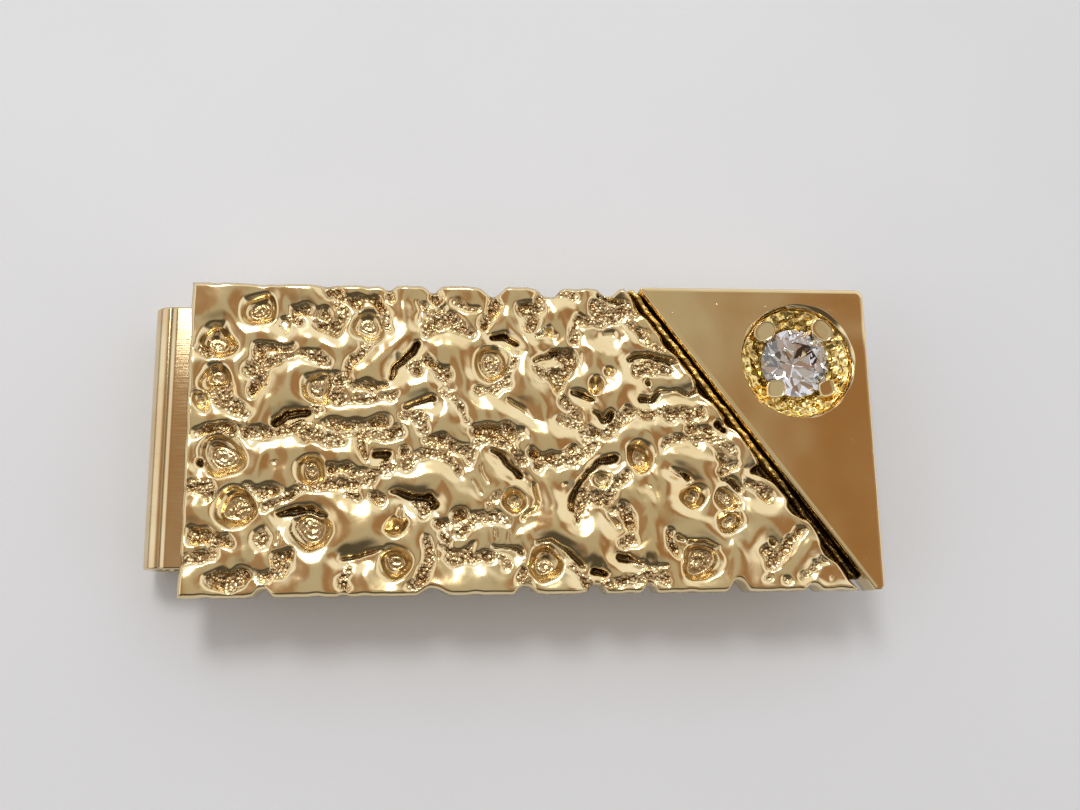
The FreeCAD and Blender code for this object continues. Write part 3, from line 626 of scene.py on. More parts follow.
def make_nugget_panel(material):
    """The cast panel: a fine net of heights on a slanting outline, with rough sides and a flat back."""
    columns = int(round((nugget_high.x - nugget_low.x) / nugget_step * mean_length_share))
    rows = int(round(2 * half_width / nugget_step))
    across = np.linspace(0, 1, columns)
    along = np.linspace(0, 1, rows)
    share_x, share_y = np.meshgrid(across, along)
    y = -half_width + 2 * half_width * share_y
    right = groove_x(y) - groove_run - edge_bites(y, groove_edge_bites)
    left = nugget_low.x + 0.03 * (1 + np.sin(1.9 * y))
    x = left + (right - left) * share_x
    upper = half_width - edge_bites(x, upper_edge_bites)
    lower = -half_width + edge_bites(x, lower_edge_bites)
    y = lower + (upper - lower) * share_y
    slant = math.hypot(1, groove_slope)
    border = np.minimum.reduce([x - left, (right - x) / slant, upper - y, y - lower])
    height, hollow, grainy, cleft_shade = nugget_relief(x, y, border)
    top = np.stack([x, y, panel_base_z + height], -1).reshape(-1, 3)
    rim = list(range(columns))
    rim += [row * columns + columns - 1 for row in range(1, rows)]
    rim += [(rows - 1) * columns + column for column in range(columns - 2, -1, -1)]
    rim += [row * columns for row in range(rows - 2, 0, -1)]
    faces = grid_faces(rows, columns)
    vertices = [top]
    rim_points = top[rim]
    centre = np.array([(nugget_low.x + nugget_high.x) / 2, 0.0])
    for layer in range(1, skirt_layers + 1):
        ring = rim_points.copy()
        fall = layer / skirt_layers
        ring[:, 2] = rim_points[:, 2] + (panel_base_z - rim_points[:, 2]) * fall
        wobble = skirt_wobble * np.sin(5 * ring[:, 0] + 3 * ring[:, 1] + 4 * fall)
        if layer < skirt_layers:
            ring[:, :2] -= np.sign(ring[:, :2] - centre) * np.abs(wobble)[:, None]
        vertices.append(ring)
    vertices = np.concatenate(vertices)
    count = len(rim)
    above = rim
    for layer in range(skirt_layers):
        below = [len(top) + layer * count + k for k in range(count)]
        for k in range(count):
            n = (k + 1) % count
            faces.append((above[k], below[k], below[n], above[n]))
        above = below
    faces.append(tuple(reversed(above)))
    mesh = new_mesh("nugget_panel_cast", vertices, faces)
    skirt = np.zeros(skirt_layers * count)
    add_attribute(mesh, "hollow", np.concatenate([hollow.ravel(), skirt + 0.3]))
    add_attribute(mesh, "grainy", np.concatenate([grainy.ravel(), skirt + 0.08]))
    add_attribute(mesh, "cleft_shade", np.concatenate([cleft_shade.ravel(), skirt]))
    return place("nugget_panel_cast", mesh, material, "front", "nugget_gold", "nugget_panel")


def ring_faces(rows, count, first=0, joined=False):
    """Quads between neighbouring rings of vertices; joined also closes the last ring onto the first."""
    faces = []
    for row in range(rows if joined else rows - 1):
        here = first + row * count
        after = first + (row + 1) % rows * count
        for k in range(count):
            n = (k + 1) % count
            faces.append((here + k, here + n, after + n, after + k))
    return faces


def loft(name, sections):
    """Skin over a row of sections, each a ring of points; the two end rings are closed with flat faces."""
    sections = np.asarray(sections, float)
    stations, count, _ = sections.shape
    faces = ring_faces(stations, count)
    faces.append(tuple(range(count)))
    faces.append(tuple((stations - 1) * count + k for k in range(count)))
    mesh = new_mesh(name, sections.reshape(-1, 3), faces)
    face_outward(mesh)
    return mesh


def face_outward(mesh):
    """Turns every face of a closed mesh to look outward."""
    shape = bmesh.new()
    shape.from_mesh(mesh)
    bmesh.ops.recalc_face_normals(shape, faces=shape.faces)
    shape.to_mesh(mesh)
    shape.free()
    mesh.update()


def rounded_outline(corners, radii, inset):
    """Counterclockwise outline of a convex plate with rounded corners, drawn in by an inset."""
    points = []
    count = len(corners)
    for k, (corner, radius) in enumerate(zip(corners, radii)):
        here = Vector(corner)
        back = (here - Vector(corners[k - 1])).normalized()
        ahead = (Vector(corners[(k + 1) % count]) - here).normalized()
        out_before = math.atan2(-back.x, back.y)
        turn = abs(back.angle_signed(ahead))
        inward = (ahead - back).normalized()
        rounding = max(radius - inset, smallest_rounding)
        centre = here + inward * (inset + rounding) / math.cos(turn / 2)
        for step in range(corner_steps + 1):
            angle = out_before + turn * step / corner_steps
            points.append((centre.x + rounding * math.cos(angle), centre.y + rounding * math.sin(angle)))
    return points


def stone_circle(radius, sides, z):
    """Ring of points round the stone's axis."""
    angles = [round_step(k, sides) for k in range(sides)]
    return [(stone_x + radius * math.cos(angle), stone_y + radius * math.sin(angle), z) for angle in angles]


def make_corner_panel(material):
    """Polished plate with rolled edges, a round window with a hand-cut bevel, and a flat underside."""
    gem_x, low_y, high_y = corner_high.x, corner_low.y, corner_high.y
    corners = [(groove_x(low_y), low_y), (gem_x, low_y), (gem_x, high_y), (groove_x(high_y), high_y)]
    loops = []

    def add_loop(inset, z):
        loops.append([(x, y, z) for x, y in rounded_outline(corners, corner_radii, inset)])

    for level in range(wall_levels + 1):
        add_loop(0, panel_base_z + (panel_top_z - panel_edge_roll - panel_base_z) * level / wall_levels)
    for step in range(1, roll_steps + 1):
        angle = math.pi / 2 * step / roll_steps
        inset = panel_edge_roll * (1 - math.cos(angle))
        add_loop(inset, panel_top_z - panel_shoulder[0][1] * 1.5 - panel_edge_roll * (1 - math.sin(angle)))
    for inset, drop in panel_shoulder:
        add_loop(inset, panel_top_z - drop)
    window = []
    for level in range(window_levels + 1):
        fall = level / window_levels
        ring = []
        for k in range(window_sides):
            angle = round_step(k, window_sides)
            from_flat = (angle - math.radians(window_flat_middle)) / math.radians(window_flat_spread)
            ground_flat = window_bevel * math.exp(-from_flat ** 2)
            cut = window_bevel + ground_flat + 0.05 * math.sin(5 * angle + 1) + 0.03 * math.sin(13 * angle)
            radius = window_radius + cut * (1 - fall) ** 1.3
            z = panel_top_z - window_bevel_depth * fall
            ring.append((stone_x + radius * math.cos(angle), stone_y + radius * math.sin(angle), z))
        window.append(ring)
    for z in (panel_top_z - window_wall_depth, panel_base_z):
        window.append(stone_circle(window_radius, window_sides, z))
    vertices = [point for loop in loops + window for point in loop]
    outer_count = len(loops[0])
    window_start = outer_count * len(loops)
    faces = ring_faces(len(loops), outer_count) + ring_faces(len(window), window_sides, window_start)
    walls = len(faces)
    top_ids = list(range((len(loops) - 1) * outer_count, len(loops) * outer_count))
    top_hole = list(range(window_start, window_start + window_sides))
    base_ids = list(range(outer_count))
    base_hole = list(range(window_start + (len(window) - 1) * window_sides, len(vertices)))
    for outer, hole in ((top_ids, top_hole), (base_ids, base_hole)):
        ids = outer + hole
        loops_flat = [[Vector(vertices[i]) for i in outer], [Vector(vertices[i]) for i in hole]]
        faces += [tuple(ids[i] for i in triangle) for triangle in tessellate_polygon(loops_flat)]
    mesh = new_mesh("corner_panel_polished", vertices, faces)
    mesh.polygons.foreach_set("use_smooth", [index < walls for index in range(len(mesh.polygons))])
    face_outward(mesh)
    return place("corner_panel_polished", mesh, material, "front", "polished_gold", "corner_panel")


def make_divider_rail(material):
    """Rough bead along the groove on a foot as wide as the groove."""
    half_foot = groove_run / 2 * 0.99
    foot_z = panel_base_z + bead_foot_height
    rise = rail_high.z - foot_z - bead_neck
    edge = bead_half_width + bead_skirt
    section = [(-half_foot, panel_base_z), (-half_foot, foot_z), (bead_shift - edge, foot_z + 0.02)]
    for step in range(bead_steps + 1):
        angle = math.pi * (1 - step / bead_steps)
        across = bead_shift + bead_half_width * math.cos(angle)
        section.append((across, foot_z + bead_neck + rise * math.sin(angle) ** 0.6))
    section += [(bead_shift + edge, foot_z + 0.02), (half_foot, foot_z), (half_foot, panel_base_z)]
    section = np.array(section)
    stations = np.linspace(rail_high.y, rail_low.y, bead_stations)
    bead = np.clip((section[:, 1] - foot_z - 0.05) / 0.4, 0, 1)
    sections = []
    for y in stations:
        middle = groove_x(y) - groove_run / 2
        sway = 0.035 * math.sin(1.3 * y) + 0.03 * math.sin(3.7 * y + 1) + 0.02 * math.sin(9.1 * y)
        lift = 0.05 * math.sin(2.9 * y + 2) + 0.05 * math.sin(6.7 * y) + 0.03 * math.sin(15 * y) - 0.1
        wear = bead_wear * smooth((-2.5 - y) / 3)
        x = middle + section[:, 0] + bead * sway
        z = section[:, 1] + bead * (lift + wear)
        sections.append(np.stack([x, np.full_like(x, y), z], -1))
    mesh = loft("divider_rail_bead", sections)
    return place("divider_rail_bead", mesh, material, "front", "groove_gold", "divider_rail")


def make_stone_cup(material):
    """Collar under the stone: rim, hand-cut slope, narrow seat and a hole beneath."""
    seat_z = panel_base_z + cup_seat_height
    profile = [(window_radius, panel_base_z), (window_radius, cup_high.z - 0.1)]
    profile.append((window_radius - 0.08, cup_high.z))
    for row in range(cup_slope_rows + 1):
        share = row / cup_slope_rows
        profile.append((window_radius - 0.15 - 1.75 * share, cup_high.z - 0.9 * share ** 0.8))
    profile += [(2.1, seat_z - 0.15), (1.8, seat_z - 0.3), (1.6, panel_base_z + 0.4), (1.6, panel_base_z)]
    vertices = []
    for radius, z in profile:
        cut = 1.0 if radius < window_radius - 0.1 and z > seat_z + 0.05 else 0.0
        for k, (x, y, _) in enumerate(stone_circle(radius, cup_sides, z)):
            rough = 0.09 * math.sin(6 * x + 3 * y) + 0.07 * math.sin(9 * y - 4 * x + 1)
            rough += 0.05 * math.sin(13 * round_step(k, cup_sides))
            vertices.append((x, y, z + cut * rough))
    mesh = new_mesh("stone_cup_cut", vertices, ring_faces(len(profile), cup_sides, joined=True))
    face_outward(mesh)
    return place("stone_cup_cut", mesh, material, "front", "setting_gold", "stone_cup")


def squared_off(share, squareness):
    """A cosine or sine, bent: the outline drawn is an oval at 2, a lozenge below it and a pad above it."""
    return math.copysign(abs(share) ** (2 / squareness), share)


def make_claw(node, material):
    """Claw with a flattened, slightly dished head that leans over the edge of the stone."""
    low, high = box_mm(node)
    middle_x = (low.x + high.x) / 2
    middle_y = (low.y + high.y) / 2
    shift_x, shift_y, long, short, turn, squareness, tilt_x, tilt_y = claw_shapes[node]
    turn = math.radians(turn)
    sections = []
    for size, share in claw_rings:
        z = low.z + (high.z - claw_top_gap - low.z) * share
        ring = []
        for k in range(claw_sides):
            angle = round_step(k, claw_sides)
            reach_x = squared_off(math.cos(angle), squareness) * long * size
            reach_y = squared_off(math.sin(angle), squareness) * short * size
            dx = reach_x * math.cos(turn) - reach_y * math.sin(turn)
            dy = reach_x * math.sin(turn) + reach_y * math.cos(turn)
            head = smooth((share - 0.5) / 0.4)
            rise = (tilt_x * dx + tilt_y * dy) * head
            ring.append((middle_x + shift_x * head + dx, middle_y + shift_y * head + dy, z + rise))
        sections.append(ring)
    mesh = loft(node + "_claw", sections)
    return place(node + "_claw", mesh, material, "front", "setting_gold", node)


def cut_facet(shape, first, second, third):
    """Cuts a flat facet through three points and drops what lies above it, seen from the stone's middle."""
    first, second, third = Vector(first), Vector(second), Vector(third)
    outward = (second - first).cross(third - first).normalized()
    if first.dot(outward) < 0:
        outward = -outward
    everything = shape.verts[:] + shape.edges[:] + shape.faces[:]
    result = bmesh.ops.bisect_plane(shape, geom=everything, dist=1e-5, plane_co=first, plane_no=outward,
                                    clear_outer=True)
    cut = [part for part in result["geom_cut"] if isinstance(part, bmesh.types.BMEdge)]
    bmesh.ops.holes_fill(shape, edges=cut, sides=0)


def around_stone(step, distance, z):
    """A point at a number of facet steps round the stone."""
    angle = math.radians(stone_step_angle * step)
    return (distance * math.cos(angle), distance * math.sin(angle), z)


def make_gemstone(material):
    """Round brilliant: a cylinder blank cut down by its table, 32 crown facets and 24 pavilion facets."""
    crown = math.tan(math.radians(stone_crown_angle))
    pavilion = math.tan(math.radians(stone_pavilion_angle))
    girdle = stone_half_girdle
    table = stone_table_ratio * stone_radius
    star = stone_star_ratio * stone_radius
    lower = stone_lower_ratio * stone_radius
    spread = math.cos(math.radians(stone_step_angle))
    table_z = girdle + (stone_radius - table) * crown
    star_z = girdle + (stone_radius - star * spread) * crown
    lower_z = -girdle - (stone_radius - lower * spread) * pavilion
    culet_z = -girdle - stone_radius * pavilion
    shape = bmesh.new()
    bmesh.ops.create_cone(shape, cap_ends=True, segments=stone_blank_sides, radius1=stone_radius,
                          radius2=stone_radius, depth=-2 * culet_z)
    for main in range(0, 16, 2):
        tip = around_stone(main, stone_radius, girdle)
        side = around_stone(main + 1, star, star_z)
        cut_facet(shape, tip, side, around_stone(main - 1, star, star_z))
        cut_facet(shape, side, around_stone(main, table, table_z), around_stone(main + 2, table, table_z))
        deep = around_stone(main, stone_radius, -girdle)
        cut_facet(shape, deep, around_stone(main + 1, lower, lower_z), around_stone(main - 1, lower, lower_z))
        for way in (-1, 1):
            between = around_stone(main + way, stone_radius, girdle)
            cut_facet(shape, tip, between, around_stone(main + way, star, star_z))
            between = around_stone(main + way, stone_radius, -girdle)
            cut_facet(shape, deep, between, around_stone(main + way, lower, lower_z))
    cut_facet(shape, *[around_stone(step, table, table_z) for step in (0, 4, 8)])
    mesh = bpy.data.meshes.new("gemstone_brilliant")
    shape.to_mesh(mesh)
    shape.free()
    turn = Matrix.Rotation(math.radians(stone_turn), 4, "Z")
    lean = Matrix.Rotation(math.radians(stone_lean), 4, "X") @ turn
    centre = Matrix.Translation((stone_x, stone_y, stone_high.z - table_z - stone_table_gap))
    mesh.transform(Matrix.Scale(MM, 4) @ centre @ lean)
    face_outward(mesh)
    return place("gemstone_brilliant", mesh, material, "front", "clear_stone", "gemstone")


def strip_walk(start_x, start_z, heading_degrees, steps):
    """Stations (x, z, heading) along the strip's middle line; a step is (length,) or (radius, degrees)."""
    x, z = start_x, start_z
    heading = math.radians(heading_degrees)
    stations = [(x, z, heading)]
    for step in steps:
        if len(step) == 1:
            parts = max(int(step[0] / strip_station), 1)
            for _ in range(parts):
                x += step[0] / parts * math.cos(heading)
                z += step[0] / parts * math.sin(heading)
                stations.append((x, z, heading))
            continue
        radius, turn = step[0], math.radians(step[1])
        parts = max(int(abs(turn) * radius / strip_station), int(abs(math.degrees(turn)) / 4), 1)
        side = math.copysign(1, turn)
        centre_x = x - side * radius * math.sin(heading)
        centre_z = z + side * radius * math.cos(heading)
        for _ in range(parts):
            heading += turn / parts
            x = centre_x + side * radius * math.sin(heading)
            z = centre_z - side * radius * math.cos(heading)
            stations.append((x, z, heading))
    return stations


def strip_section(x, z, heading, half_width_here):
    """Ring of points round the strip: flat faces with softened edges."""
    half = strip_thickness / 2
    points = []
    for side_y, side_t, first in ((1, 1, 0), (-1, 1, 90), (-1, -1, 180), (1, -1, 270)):
        for step in range(edge_steps + 1):
            angle = math.radians(first + 90 * step / edge_steps)
            y = side_y * (half_width_here - strip_edge_radius) + strip_edge_radius * math.cos(angle)
            t = side_t * (half - strip_edge_radius) + strip_edge_radius * math.sin(angle)
            points.append((x - t * math.sin(heading), strip_middle_y + y, z + t * math.cos(heading)))
    return points


def make_strip_part(name, stations, material, body=None, rounded_end=False):
    """One stretch of the spring strip; a rounded end draws the width in round the tongue's tip."""
    reach = 0.0
    lengths = [0.0]
    for (ax, az, _), (bx, bz, _) in zip(stations, stations[1:]):
        reach += math.hypot(bx - ax, bz - az)
        lengths.append(reach)
    sections = []
    for (x, z, heading), length in zip(stations, lengths):
        half = strip_half_width
        left = reach - length
        if rounded_end and left < tip_corner_radius:
            half -= tip_corner_radius - math.sqrt(tip_corner_radius ** 2 - (tip_corner_radius - left) ** 2)
        sections.append(strip_section(x, z, heading, half))
    return place(name, loft(name, sections), material, body, "spring_gold")


def drill_culet_hole(piece):
    """Round hole through the leaf under the stone's point."""
    heights = (leaf_high.z - 2 * strip_thickness, leaf_high.z + strip_thickness)
    rings = [stone_circle(culet_hole_radius, culet_hole_sides, z) for z in heights]
    drill = bpy.data.objects.new("drill", loft("drill", rings))
    bpy.context.scene.collection.objects.link(drill)
    cut = piece.modifiers.new("culet_hole", "BOOLEAN")
    cut.operation = "DIFFERENCE"
    cut.solver = "EXACT"
    cut.object = drill
    ready = piece.evaluated_get(bpy.context.evaluated_depsgraph_get())
    mesh = bpy.data.meshes.new_from_object(ready)
    mesh.name = piece.data.name
    piece.modifiers.clear()
    piece.data = mesh
    bpy.data.objects.remove(drill)


def make_strip(material):
    """The folded spring in three stretches: leaf, fold and tongue."""
    leaf_length = leaf_high.x - fold_start_x
    leaf = strip_walk(leaf_high.x, leaf_high.z - strip_thickness / 2, 180, [(leaf_length,)])
    corner = (fold_corner_radius - strip_thickness / 2, 90)
    fold = strip_walk(*leaf[-1][:2], 180, [corner, (leaf_high.z - 2 * fold_corner_radius,), corner])
    rise = math.radians(tongue_rise_angle)
    fall = math.radians(tongue_fall_angle)
    rise_by_bends = 2 * tongue_bend_radius * (1 - math.cos(rise))
    fall_by_bends = (tongue_bend_radius + tip_bend_radius) * (1 - math.cos(fall))
    steps = [
        (tongue_flat_length,),
        (tongue_bend_radius, tongue_rise_angle),
        ((crest_height - rise_by_bends) / math.sin(rise),),
        (tongue_bend_radius, -tongue_rise_angle - tongue_fall_angle),
        ((crest_height - fall_by_bends) / math.sin(fall),),
        (tip_bend_radius, tongue_fall_angle),
    ]
    tongue = strip_walk(*fold[-1][:2], 0, steps)
    flat = make_strip_part("clip_leaf_strip", leaf, material, "front")
    drill_culet_hole(flat)
    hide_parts("clip_front_leaf")
    bend = make_strip_part("clip_fold_strip", fold, material)
    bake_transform(bend)
    blade = make_strip_part("clip_tongue_strip", tongue, material, "tongue", True)
    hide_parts("clip_tongue")


class Look:
    """A material being made: Principled shader plus nodes that take places on the piece in millimetres."""

    def __init__(self, name, **values):
        self.material = bpy.data.materials.new(name)
        self.material.use_nodes = True
        self.tree = self.material.node_tree
        self.shader = self.tree.nodes["Principled BSDF"]
        for socket, value in values.items():
            self.shader.inputs[socket.replace("_", " ")].default_value = value
        object_place = self.node("ShaderNodeTexCoord").outputs["Object"]
        self.place = self.node("ShaderNodeVectorMath", {"Vector": object_place, "Scale": 1 / MM},
                               operation="SCALE").outputs["Vector"]

    def node(self, kind, inputs=None, **settings):
        made = self.tree.nodes.new(kind)
        for name, value in settings.items():
            setattr(made, name, value)
        for name, value in (inputs or {}).items():
            self.feed(made.inputs[name], value)
        return made

    def feed(self, socket, value):
        if isinstance(value, bpy.types.NodeSocket):
            self.tree.links.new(value, socket)
        else:
            socket.default_value = value

    def noise(self, per_mm, detail=2.0, roughness=0.5, stretch=(1, 1, 1), turn=0.0):
        """Noise from 0 to 1 with features about 1 / per_mm long, stretched along a turned direction."""
        place = self.place
        if stretch != (1, 1, 1):
            place = self.node("ShaderNodeMapping", {"Vector": place, "Rotation": (0, 0, math.radians(turn))})
            place = self.node("ShaderNodeVectorMath", {0: place.outputs["Vector"], 1: stretch},
                              operation="MULTIPLY").outputs["Vector"]
        inputs = {"Vector": place, "Scale": per_mm, "Detail": detail, "Roughness": roughness}
        return self.node("ShaderNodeTexNoise", inputs).outputs["Fac"]

    def cells(self, per_mm):
        inputs = {"Vector": self.place, "Scale": per_mm, "Smoothness": 0.15}
        return self.node("ShaderNodeTexVoronoi", inputs, feature="SMOOTH_F1").outputs["Distance"]

    def attribute(self, name):
        return self.node("ShaderNodeAttribute", attribute_name=name).outputs["Fac"]

    def math(self, operation, first, second):
        return self.node("ShaderNodeMath", {0: first, 1: second}, operation=operation).outputs["Value"]

    def span(self, value, from_low, from_high, to_low, to_high):
        """The value carried from one range to another, held at the ends."""
        inputs = {"Value": value, "From Min": from_low, "From Max": from_high}
        inputs.update({"To Min": to_low, "To Max": to_high})
        return self.node("ShaderNodeMapRange", inputs).outputs["Result"]

    def mix(self, factor, first, second):
        """Colour between two others."""
        blend = self.node("ShaderNodeMix", {0: factor, 6: first, 7: second}, data_type="RGBA")
        return blend.outputs[2]

    def bump(self, height, depth_mm, before=None):
        """Bump whose full height is depth_mm, laid over an earlier bump."""
        inputs = {"Height": height, "Distance": depth_mm * MM, "Strength": 1.0}
        if before is not None:
            inputs["Normal"] = before
        return self.node("ShaderNodeBump", inputs).outputs["Normal"]

    def finish(self, colour=None, roughness=None, normal=None):
        for name, value in (("Base Color", colour), ("Roughness", roughness), ("Normal", normal)):
            if value is not None:
                self.feed(self.shader.inputs[name], value)
        return self.material


def nugget_gold():
    """Cast gold: satin on the humps, beaded in the hollows, with painted shade between the beads and in the
    deep hollows and clefts.
    """
    look = Look("nugget_gold", Metallic=1.0)
    hollow = look.attribute("hollow")
    grainy = look.attribute("grainy")
    patches = look.span(look.noise(0.35, 3), 0.35, 0.65, 0, 1)
    fine = look.noise(6, 3, 0.6)
    beads = look.cells(4.2)
    # Painted shade: dark gaps between the beads, darker deep hollows, and near black in the deep clefts
    bead_gap_shade = look.math("MULTIPLY", look.span(beads, 0.3, 0.55, 0, 0.85), grainy)
    hollow_shade = look.math("MULTIPLY", look.span(hollow, 0.5, 1.0, 0, 0.7), look.span(fine, 0.35, 0.7, 0.3, 1))
    colour = look.mix(look.math("MAXIMUM", bead_gap_shade, hollow_shade), look.mix(patches, bright_gold, deep_gold), tarnish_and_shade)
    colour = look.mix(look.math("MULTIPLY", look.attribute("cleft_shade"), 0.7), colour, near_black_shade)
    smooth_skin = look.span(look.noise(1.3, 3), 0.3, 0.7, 0.13, 0.2)
    rougher = look.math("MULTIPLY", grainy, look.span(fine, 0.3, 0.7, 0.0, 0.12))
    roughness = look.math("ADD", smooth_skin, rougher)
    skin = look.bump(look.noise(0.9, 2), 0.02)
    dome = look.math("SUBTRACT", 1.0, look.math("MULTIPLY", beads, beads))
    beaded = look.bump(look.math("MULTIPLY", dome, grainy), 0.13, skin)
    return look.finish(colour, roughness, beaded)


def polished_gold():
    """Hand-polished plate: soft waves, fine scratches two ways and a few specks."""
    look = Look("polished_gold", Metallic=1.0)
    tone = look.mix(look.span(look.noise(0.2, 2), 0.35, 0.65, 0, 1), bright_gold, deep_gold)
    scratch = look.noise(14, 2, 0.6, (0.05, 1, 1), 35)
    cross_scratch = look.noise(17, 2, 0.6, (0.05, 1, 1), -50)
    specks = look.span(look.noise(2.1, 1), 0.78, 0.82, 0, 1)
    colour = look.mix(look.math("MULTIPLY", specks, 0.7), tone, tarnish_and_shade)
    roughness = look.span(look.math("ADD", scratch, cross_scratch), 0.6, 1.4, 0.07, 0.12)
    waves = look.bump(look.noise(0.16, 1), 0.16)
    lines = look.bump(look.span(scratch, 0.70, 0.8, 0, 1), 0.0012, waves)
    crossed = look.bump(look.span(cross_scratch, 0.70, 0.8, 0, 1), 0.001, lines)
    pits = look.bump(specks, 0.02, crossed)
    return look.finish(colour, roughness, pits)


def groove_gold():
    """Bead left rough between the panels, darker toward the pointed end, with painted shade low down in the
    groove.
    """
    look = Look("groove_gold", Metallic=1.0)
    fine = look.noise(5, 3, 0.6)
    place = look.node("ShaderNodeSeparateXYZ", {"Vector": look.place})
    # Darker toward the pointed end; below the set heights, painted shade low in the groove
    darker_toward_tip = look.span(place.outputs["Y"], -1.0, -4.5, 0.0, 0.95)
    sunk = look.span(place.outputs["Z"], bead_shade_below, bead_unshaded_above, 1.0, 0.0)
    shade_and_darkening = look.math("MULTIPLY", look.math("MAXIMUM", darker_toward_tip, sunk), look.span(fine, 0.3, 0.6, 0.75, 1))
    colour = look.mix(shade_and_darkening, yellow_gold, near_black_shade)
    roughness = look.span(fine, 0.3, 0.7, 0.12, 0.3)
    return look.finish(colour, roughness, look.bump(fine, 0.06))


def setting_gold():
    """Bright-cut metal round the stone: small hard facets and a few duller spots."""
    look = Look("setting_gold", Metallic=1.0)
    cuts = look.cells(1.7)
    fine = look.noise(7, 2)
    colour = look.mix(look.span(fine, 0.45, 0.75, 0, 0.6), yellow_gold, deep_gold)
    roughness = look.span(look.noise(2.5, 2), 0.3, 0.7, 0.10, 0.28)
    facets = look.bump(cuts, 0.22)
    return look.finish(colour, roughness, look.bump(fine, 0.012, facets))


def claw_gold():
    """Claw heads: filed flat and polished, with faint file marks."""
    look = Look("claw_gold", Metallic=1.0)
    marks = look.noise(9, 2, 0.6, (0.1, 1, 1), 20)
    colour = look.mix(look.span(marks, 0.4, 0.8, 0, 0.6), bright_gold, deep_gold)
    return look.finish(colour, look.span(marks, 0.3, 0.7, 0.06, 0.14), look.bump(marks, 0.004))


def spring_gold():
    """Rolled strip: polished with faint lines along its length."""
    look = Look("spring_gold", Metallic=1.0)
    drawn = look.noise(11, 2, 0.6, (0.03, 1, 1))
    tone = look.mix(look.span(look.noise(0.3, 3), 0.35, 0.65, 0, 1), worn_gold, brown_gold)
    roughness = look.span(drawn, 0.3, 0.7, 0.08, 0.2)
    waves = look.bump(look.noise(0.25, 1), 0.02)
    return look.finish(tone, roughness, look.bump(drawn, 0.003, waves))


def clear_stone():
    """Clear cut stone with a faint cool haze that varies inside."""
    look = Look("clear_stone", Transmission_Weight=1.0, IOR=2.1, Roughness=0.0)
    tint = look.mix(look.span(look.noise(0.8, 2), 0.35, 0.65, 0, 1), stone_clear, stone_haze)
    return look.finish(tint)


def paper():
    """Pale sheet under the clip, with a soft mottle and a fine tooth."""
    look = Look("paper", Roughness=0.75)
    mottle = look.span(look.noise(0.03, 3), 0.3, 0.7, 0, 1)
    colour = look.mix(mottle, paper_shade, paper_light)
    return look.finish(colour, None, look.bump(look.noise(2.5, 3, 0.6), 0.015))


def make_floor():
    """Pale floor sheet, larger than any view of the clip needs."""
    line = np.linspace(-floor_reach, floor_reach, floor_lines)
    across, along = np.meshgrid(line, line)
    vertices = np.stack([across, along, np.zeros_like(across)], -1).reshape(-1, 3)
    mesh = new_mesh("floor_sheet", vertices, grid_faces(floor_lines, floor_lines))
    mesh.materials.append(paper())
    floor = bpy.data.objects.new("floor_sheet", mesh)
    bpy.context.scene.collection.objects.link(floor)


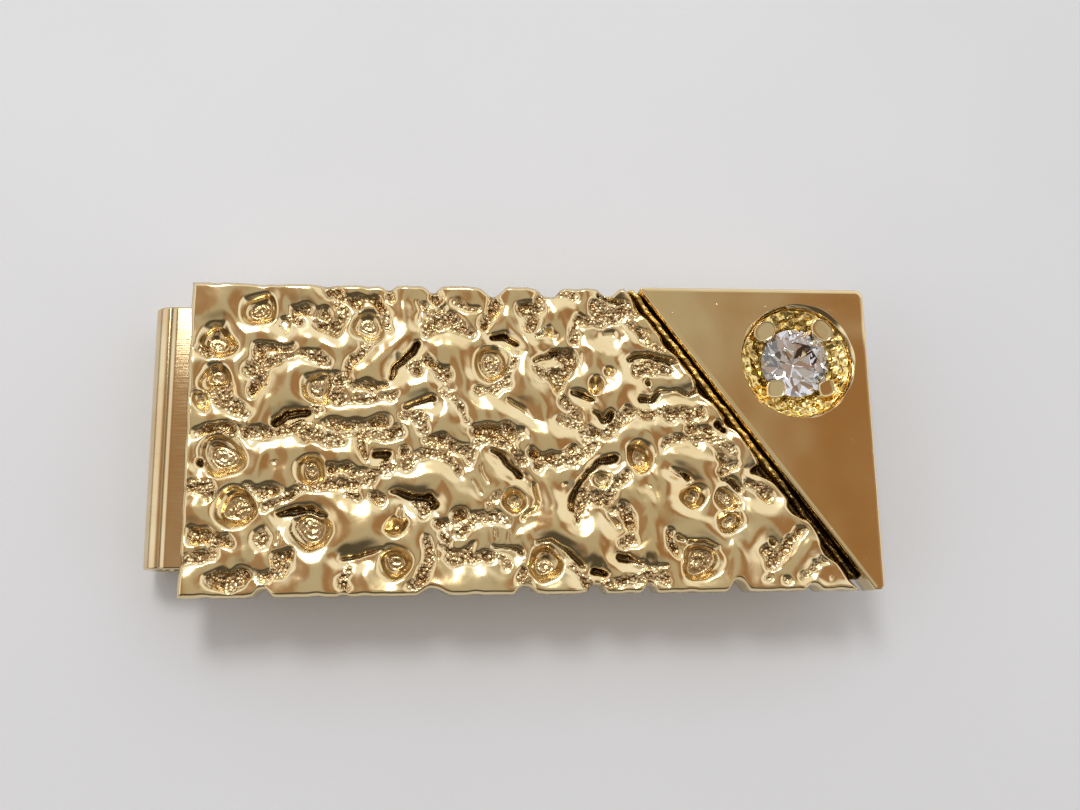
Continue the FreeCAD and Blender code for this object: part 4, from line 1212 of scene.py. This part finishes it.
def light_room():
    """Soft surroundings: a khaki ceiling with brown on both sides, pale walls, and a window beyond +Y."""
    world = bpy.data.worlds.new("soft_room")
    world.use_nodes = True
    tree = world.node_tree
    bpy.context.scene.world = world

    def node(kind, inputs=None, **settings):
        made = tree.nodes.new(kind)
        for name, value in settings.items():
            setattr(made, name, value)
        for name, value in (inputs or {}).items():
            if isinstance(value, bpy.types.NodeSocket):
                tree.links.new(value, made.inputs[name])
            else:
                made.inputs[name].default_value = value
        return made

    def span(value, low, high, to_low=0.0, to_high=1.0):
        inputs = {"Value": value, "From Min": low, "From Max": high, "To Min": to_low, "To Max": to_high}
        return node("ShaderNodeMapRange", inputs, interpolation_type="SMOOTHSTEP").outputs["Result"]

    def mix(factor, first, second):
        return node("ShaderNodeMix", {0: factor, 6: first, 7: second}, data_type="RGBA").outputs[2]

    def number(operation, first, second=0.0):
        return node("ShaderNodeMath", {0: first, 1: second}, operation=operation).outputs["Value"]

    def product(first, second):
        return number("MULTIPLY", first, second)

    def band(value, rise, fall):
        """Full between a rise and a fall, each given as where it starts and where it ends."""
        return product(span(value, *rise), span(value, *fall))

    direction = node("ShaderNodeTexCoord").outputs["Generated"]
    parts = node("ShaderNodeSeparateXYZ", {"Vector": direction}).outputs
    up = number("MAXIMUM", parts["Z"], smallest_height)
    lean_x = number("DIVIDE", parts["X"], up)
    lean_y = number("DIVIDE", parts["Y"], up)
    colour = mix(span(parts["Z"], *walls_height), room_ceiling, room_walls)
    near_brown = product(band(lean_x, near_brown_rise, near_brown_fall),
                         band(lean_y, near_brown_front, near_brown_back))
    colour = mix(near_brown, colour, room_brown)
    far_brown = band(lean_x, far_brown_rise, far_brown_fall)
    colour = mix(product(far_brown, far_brown_share), colour, room_brown)
    toward = number("MAXIMUM", product(parts["Y"], -1.0), smallest_height)
    beside = number("ABSOLUTE", number("DIVIDE", parts["X"], toward))
    leaning_over = product(span(lean_y, *dark_rise), span(beside, *dark_beside))
    colour = mix(leaning_over, colour, room_dark)
    colour = mix(band(lean_y, window_rise, window_fall), colour, room_window)
    colour = mix(span(parts["Z"], *low_height), colour, room_low)
    tree.links.new(colour, tree.nodes["Background"].inputs["Color"])


def add_lamp():
    """Soft square lamp aimed at the clip."""
    lamp = bpy.data.lights.new("soft_lamp", "AREA")
    lamp.size = lamp_size_m
    lamp.energy = lamp_power
    lamp.color = lamp_colour
    holder = bpy.data.objects.new("soft_lamp", lamp)
    holder.location = lamp_place_m
    holder.rotation_euler = Vector(lamp_place_m).to_track_quat("Z", "Y").to_euler()
    bpy.context.scene.collection.objects.link(holder)


def place_camera():
    """Camera almost overhead, a little toward -Y, at close range."""
    camera = bpy.data.cameras.new("camera")
    camera.sensor_width = camera_sensor
    camera.lens = camera_lens
    camera.clip_start, camera.clip_end = camera_clip_m
    holder = bpy.data.objects.new("camera", camera)
    eye = Vector(camera_place_mm) * MM
    target = Vector(camera_target_mm) * MM
    backward = (eye - target).normalized()
    right = Vector(camera_up).cross(backward).normalized()
    upward = backward.cross(right)
    holder.matrix_world = Matrix.Translation(eye) @ Matrix((right, upward, backward)).transposed().to_4x4()
    bpy.context.scene.collection.objects.link(holder)
    bpy.context.scene.camera = holder


def main():
    """Builds every piece, the floor, the light and the camera."""
    make_nugget_panel(nugget_gold())
    make_corner_panel(polished_gold())
    make_divider_rail(groove_gold())
    setting = setting_gold()
    make_stone_cup(setting)
    claws = claw_gold()
    for node in claw_shapes:
        make_claw(node, claws)
    make_gemstone(clear_stone())
    make_strip(spring_gold())
    make_floor()
    light_room()
    add_lamp()
    place_camera()
    bpy.context.scene.view_settings.view_transform = "Standard"


main()
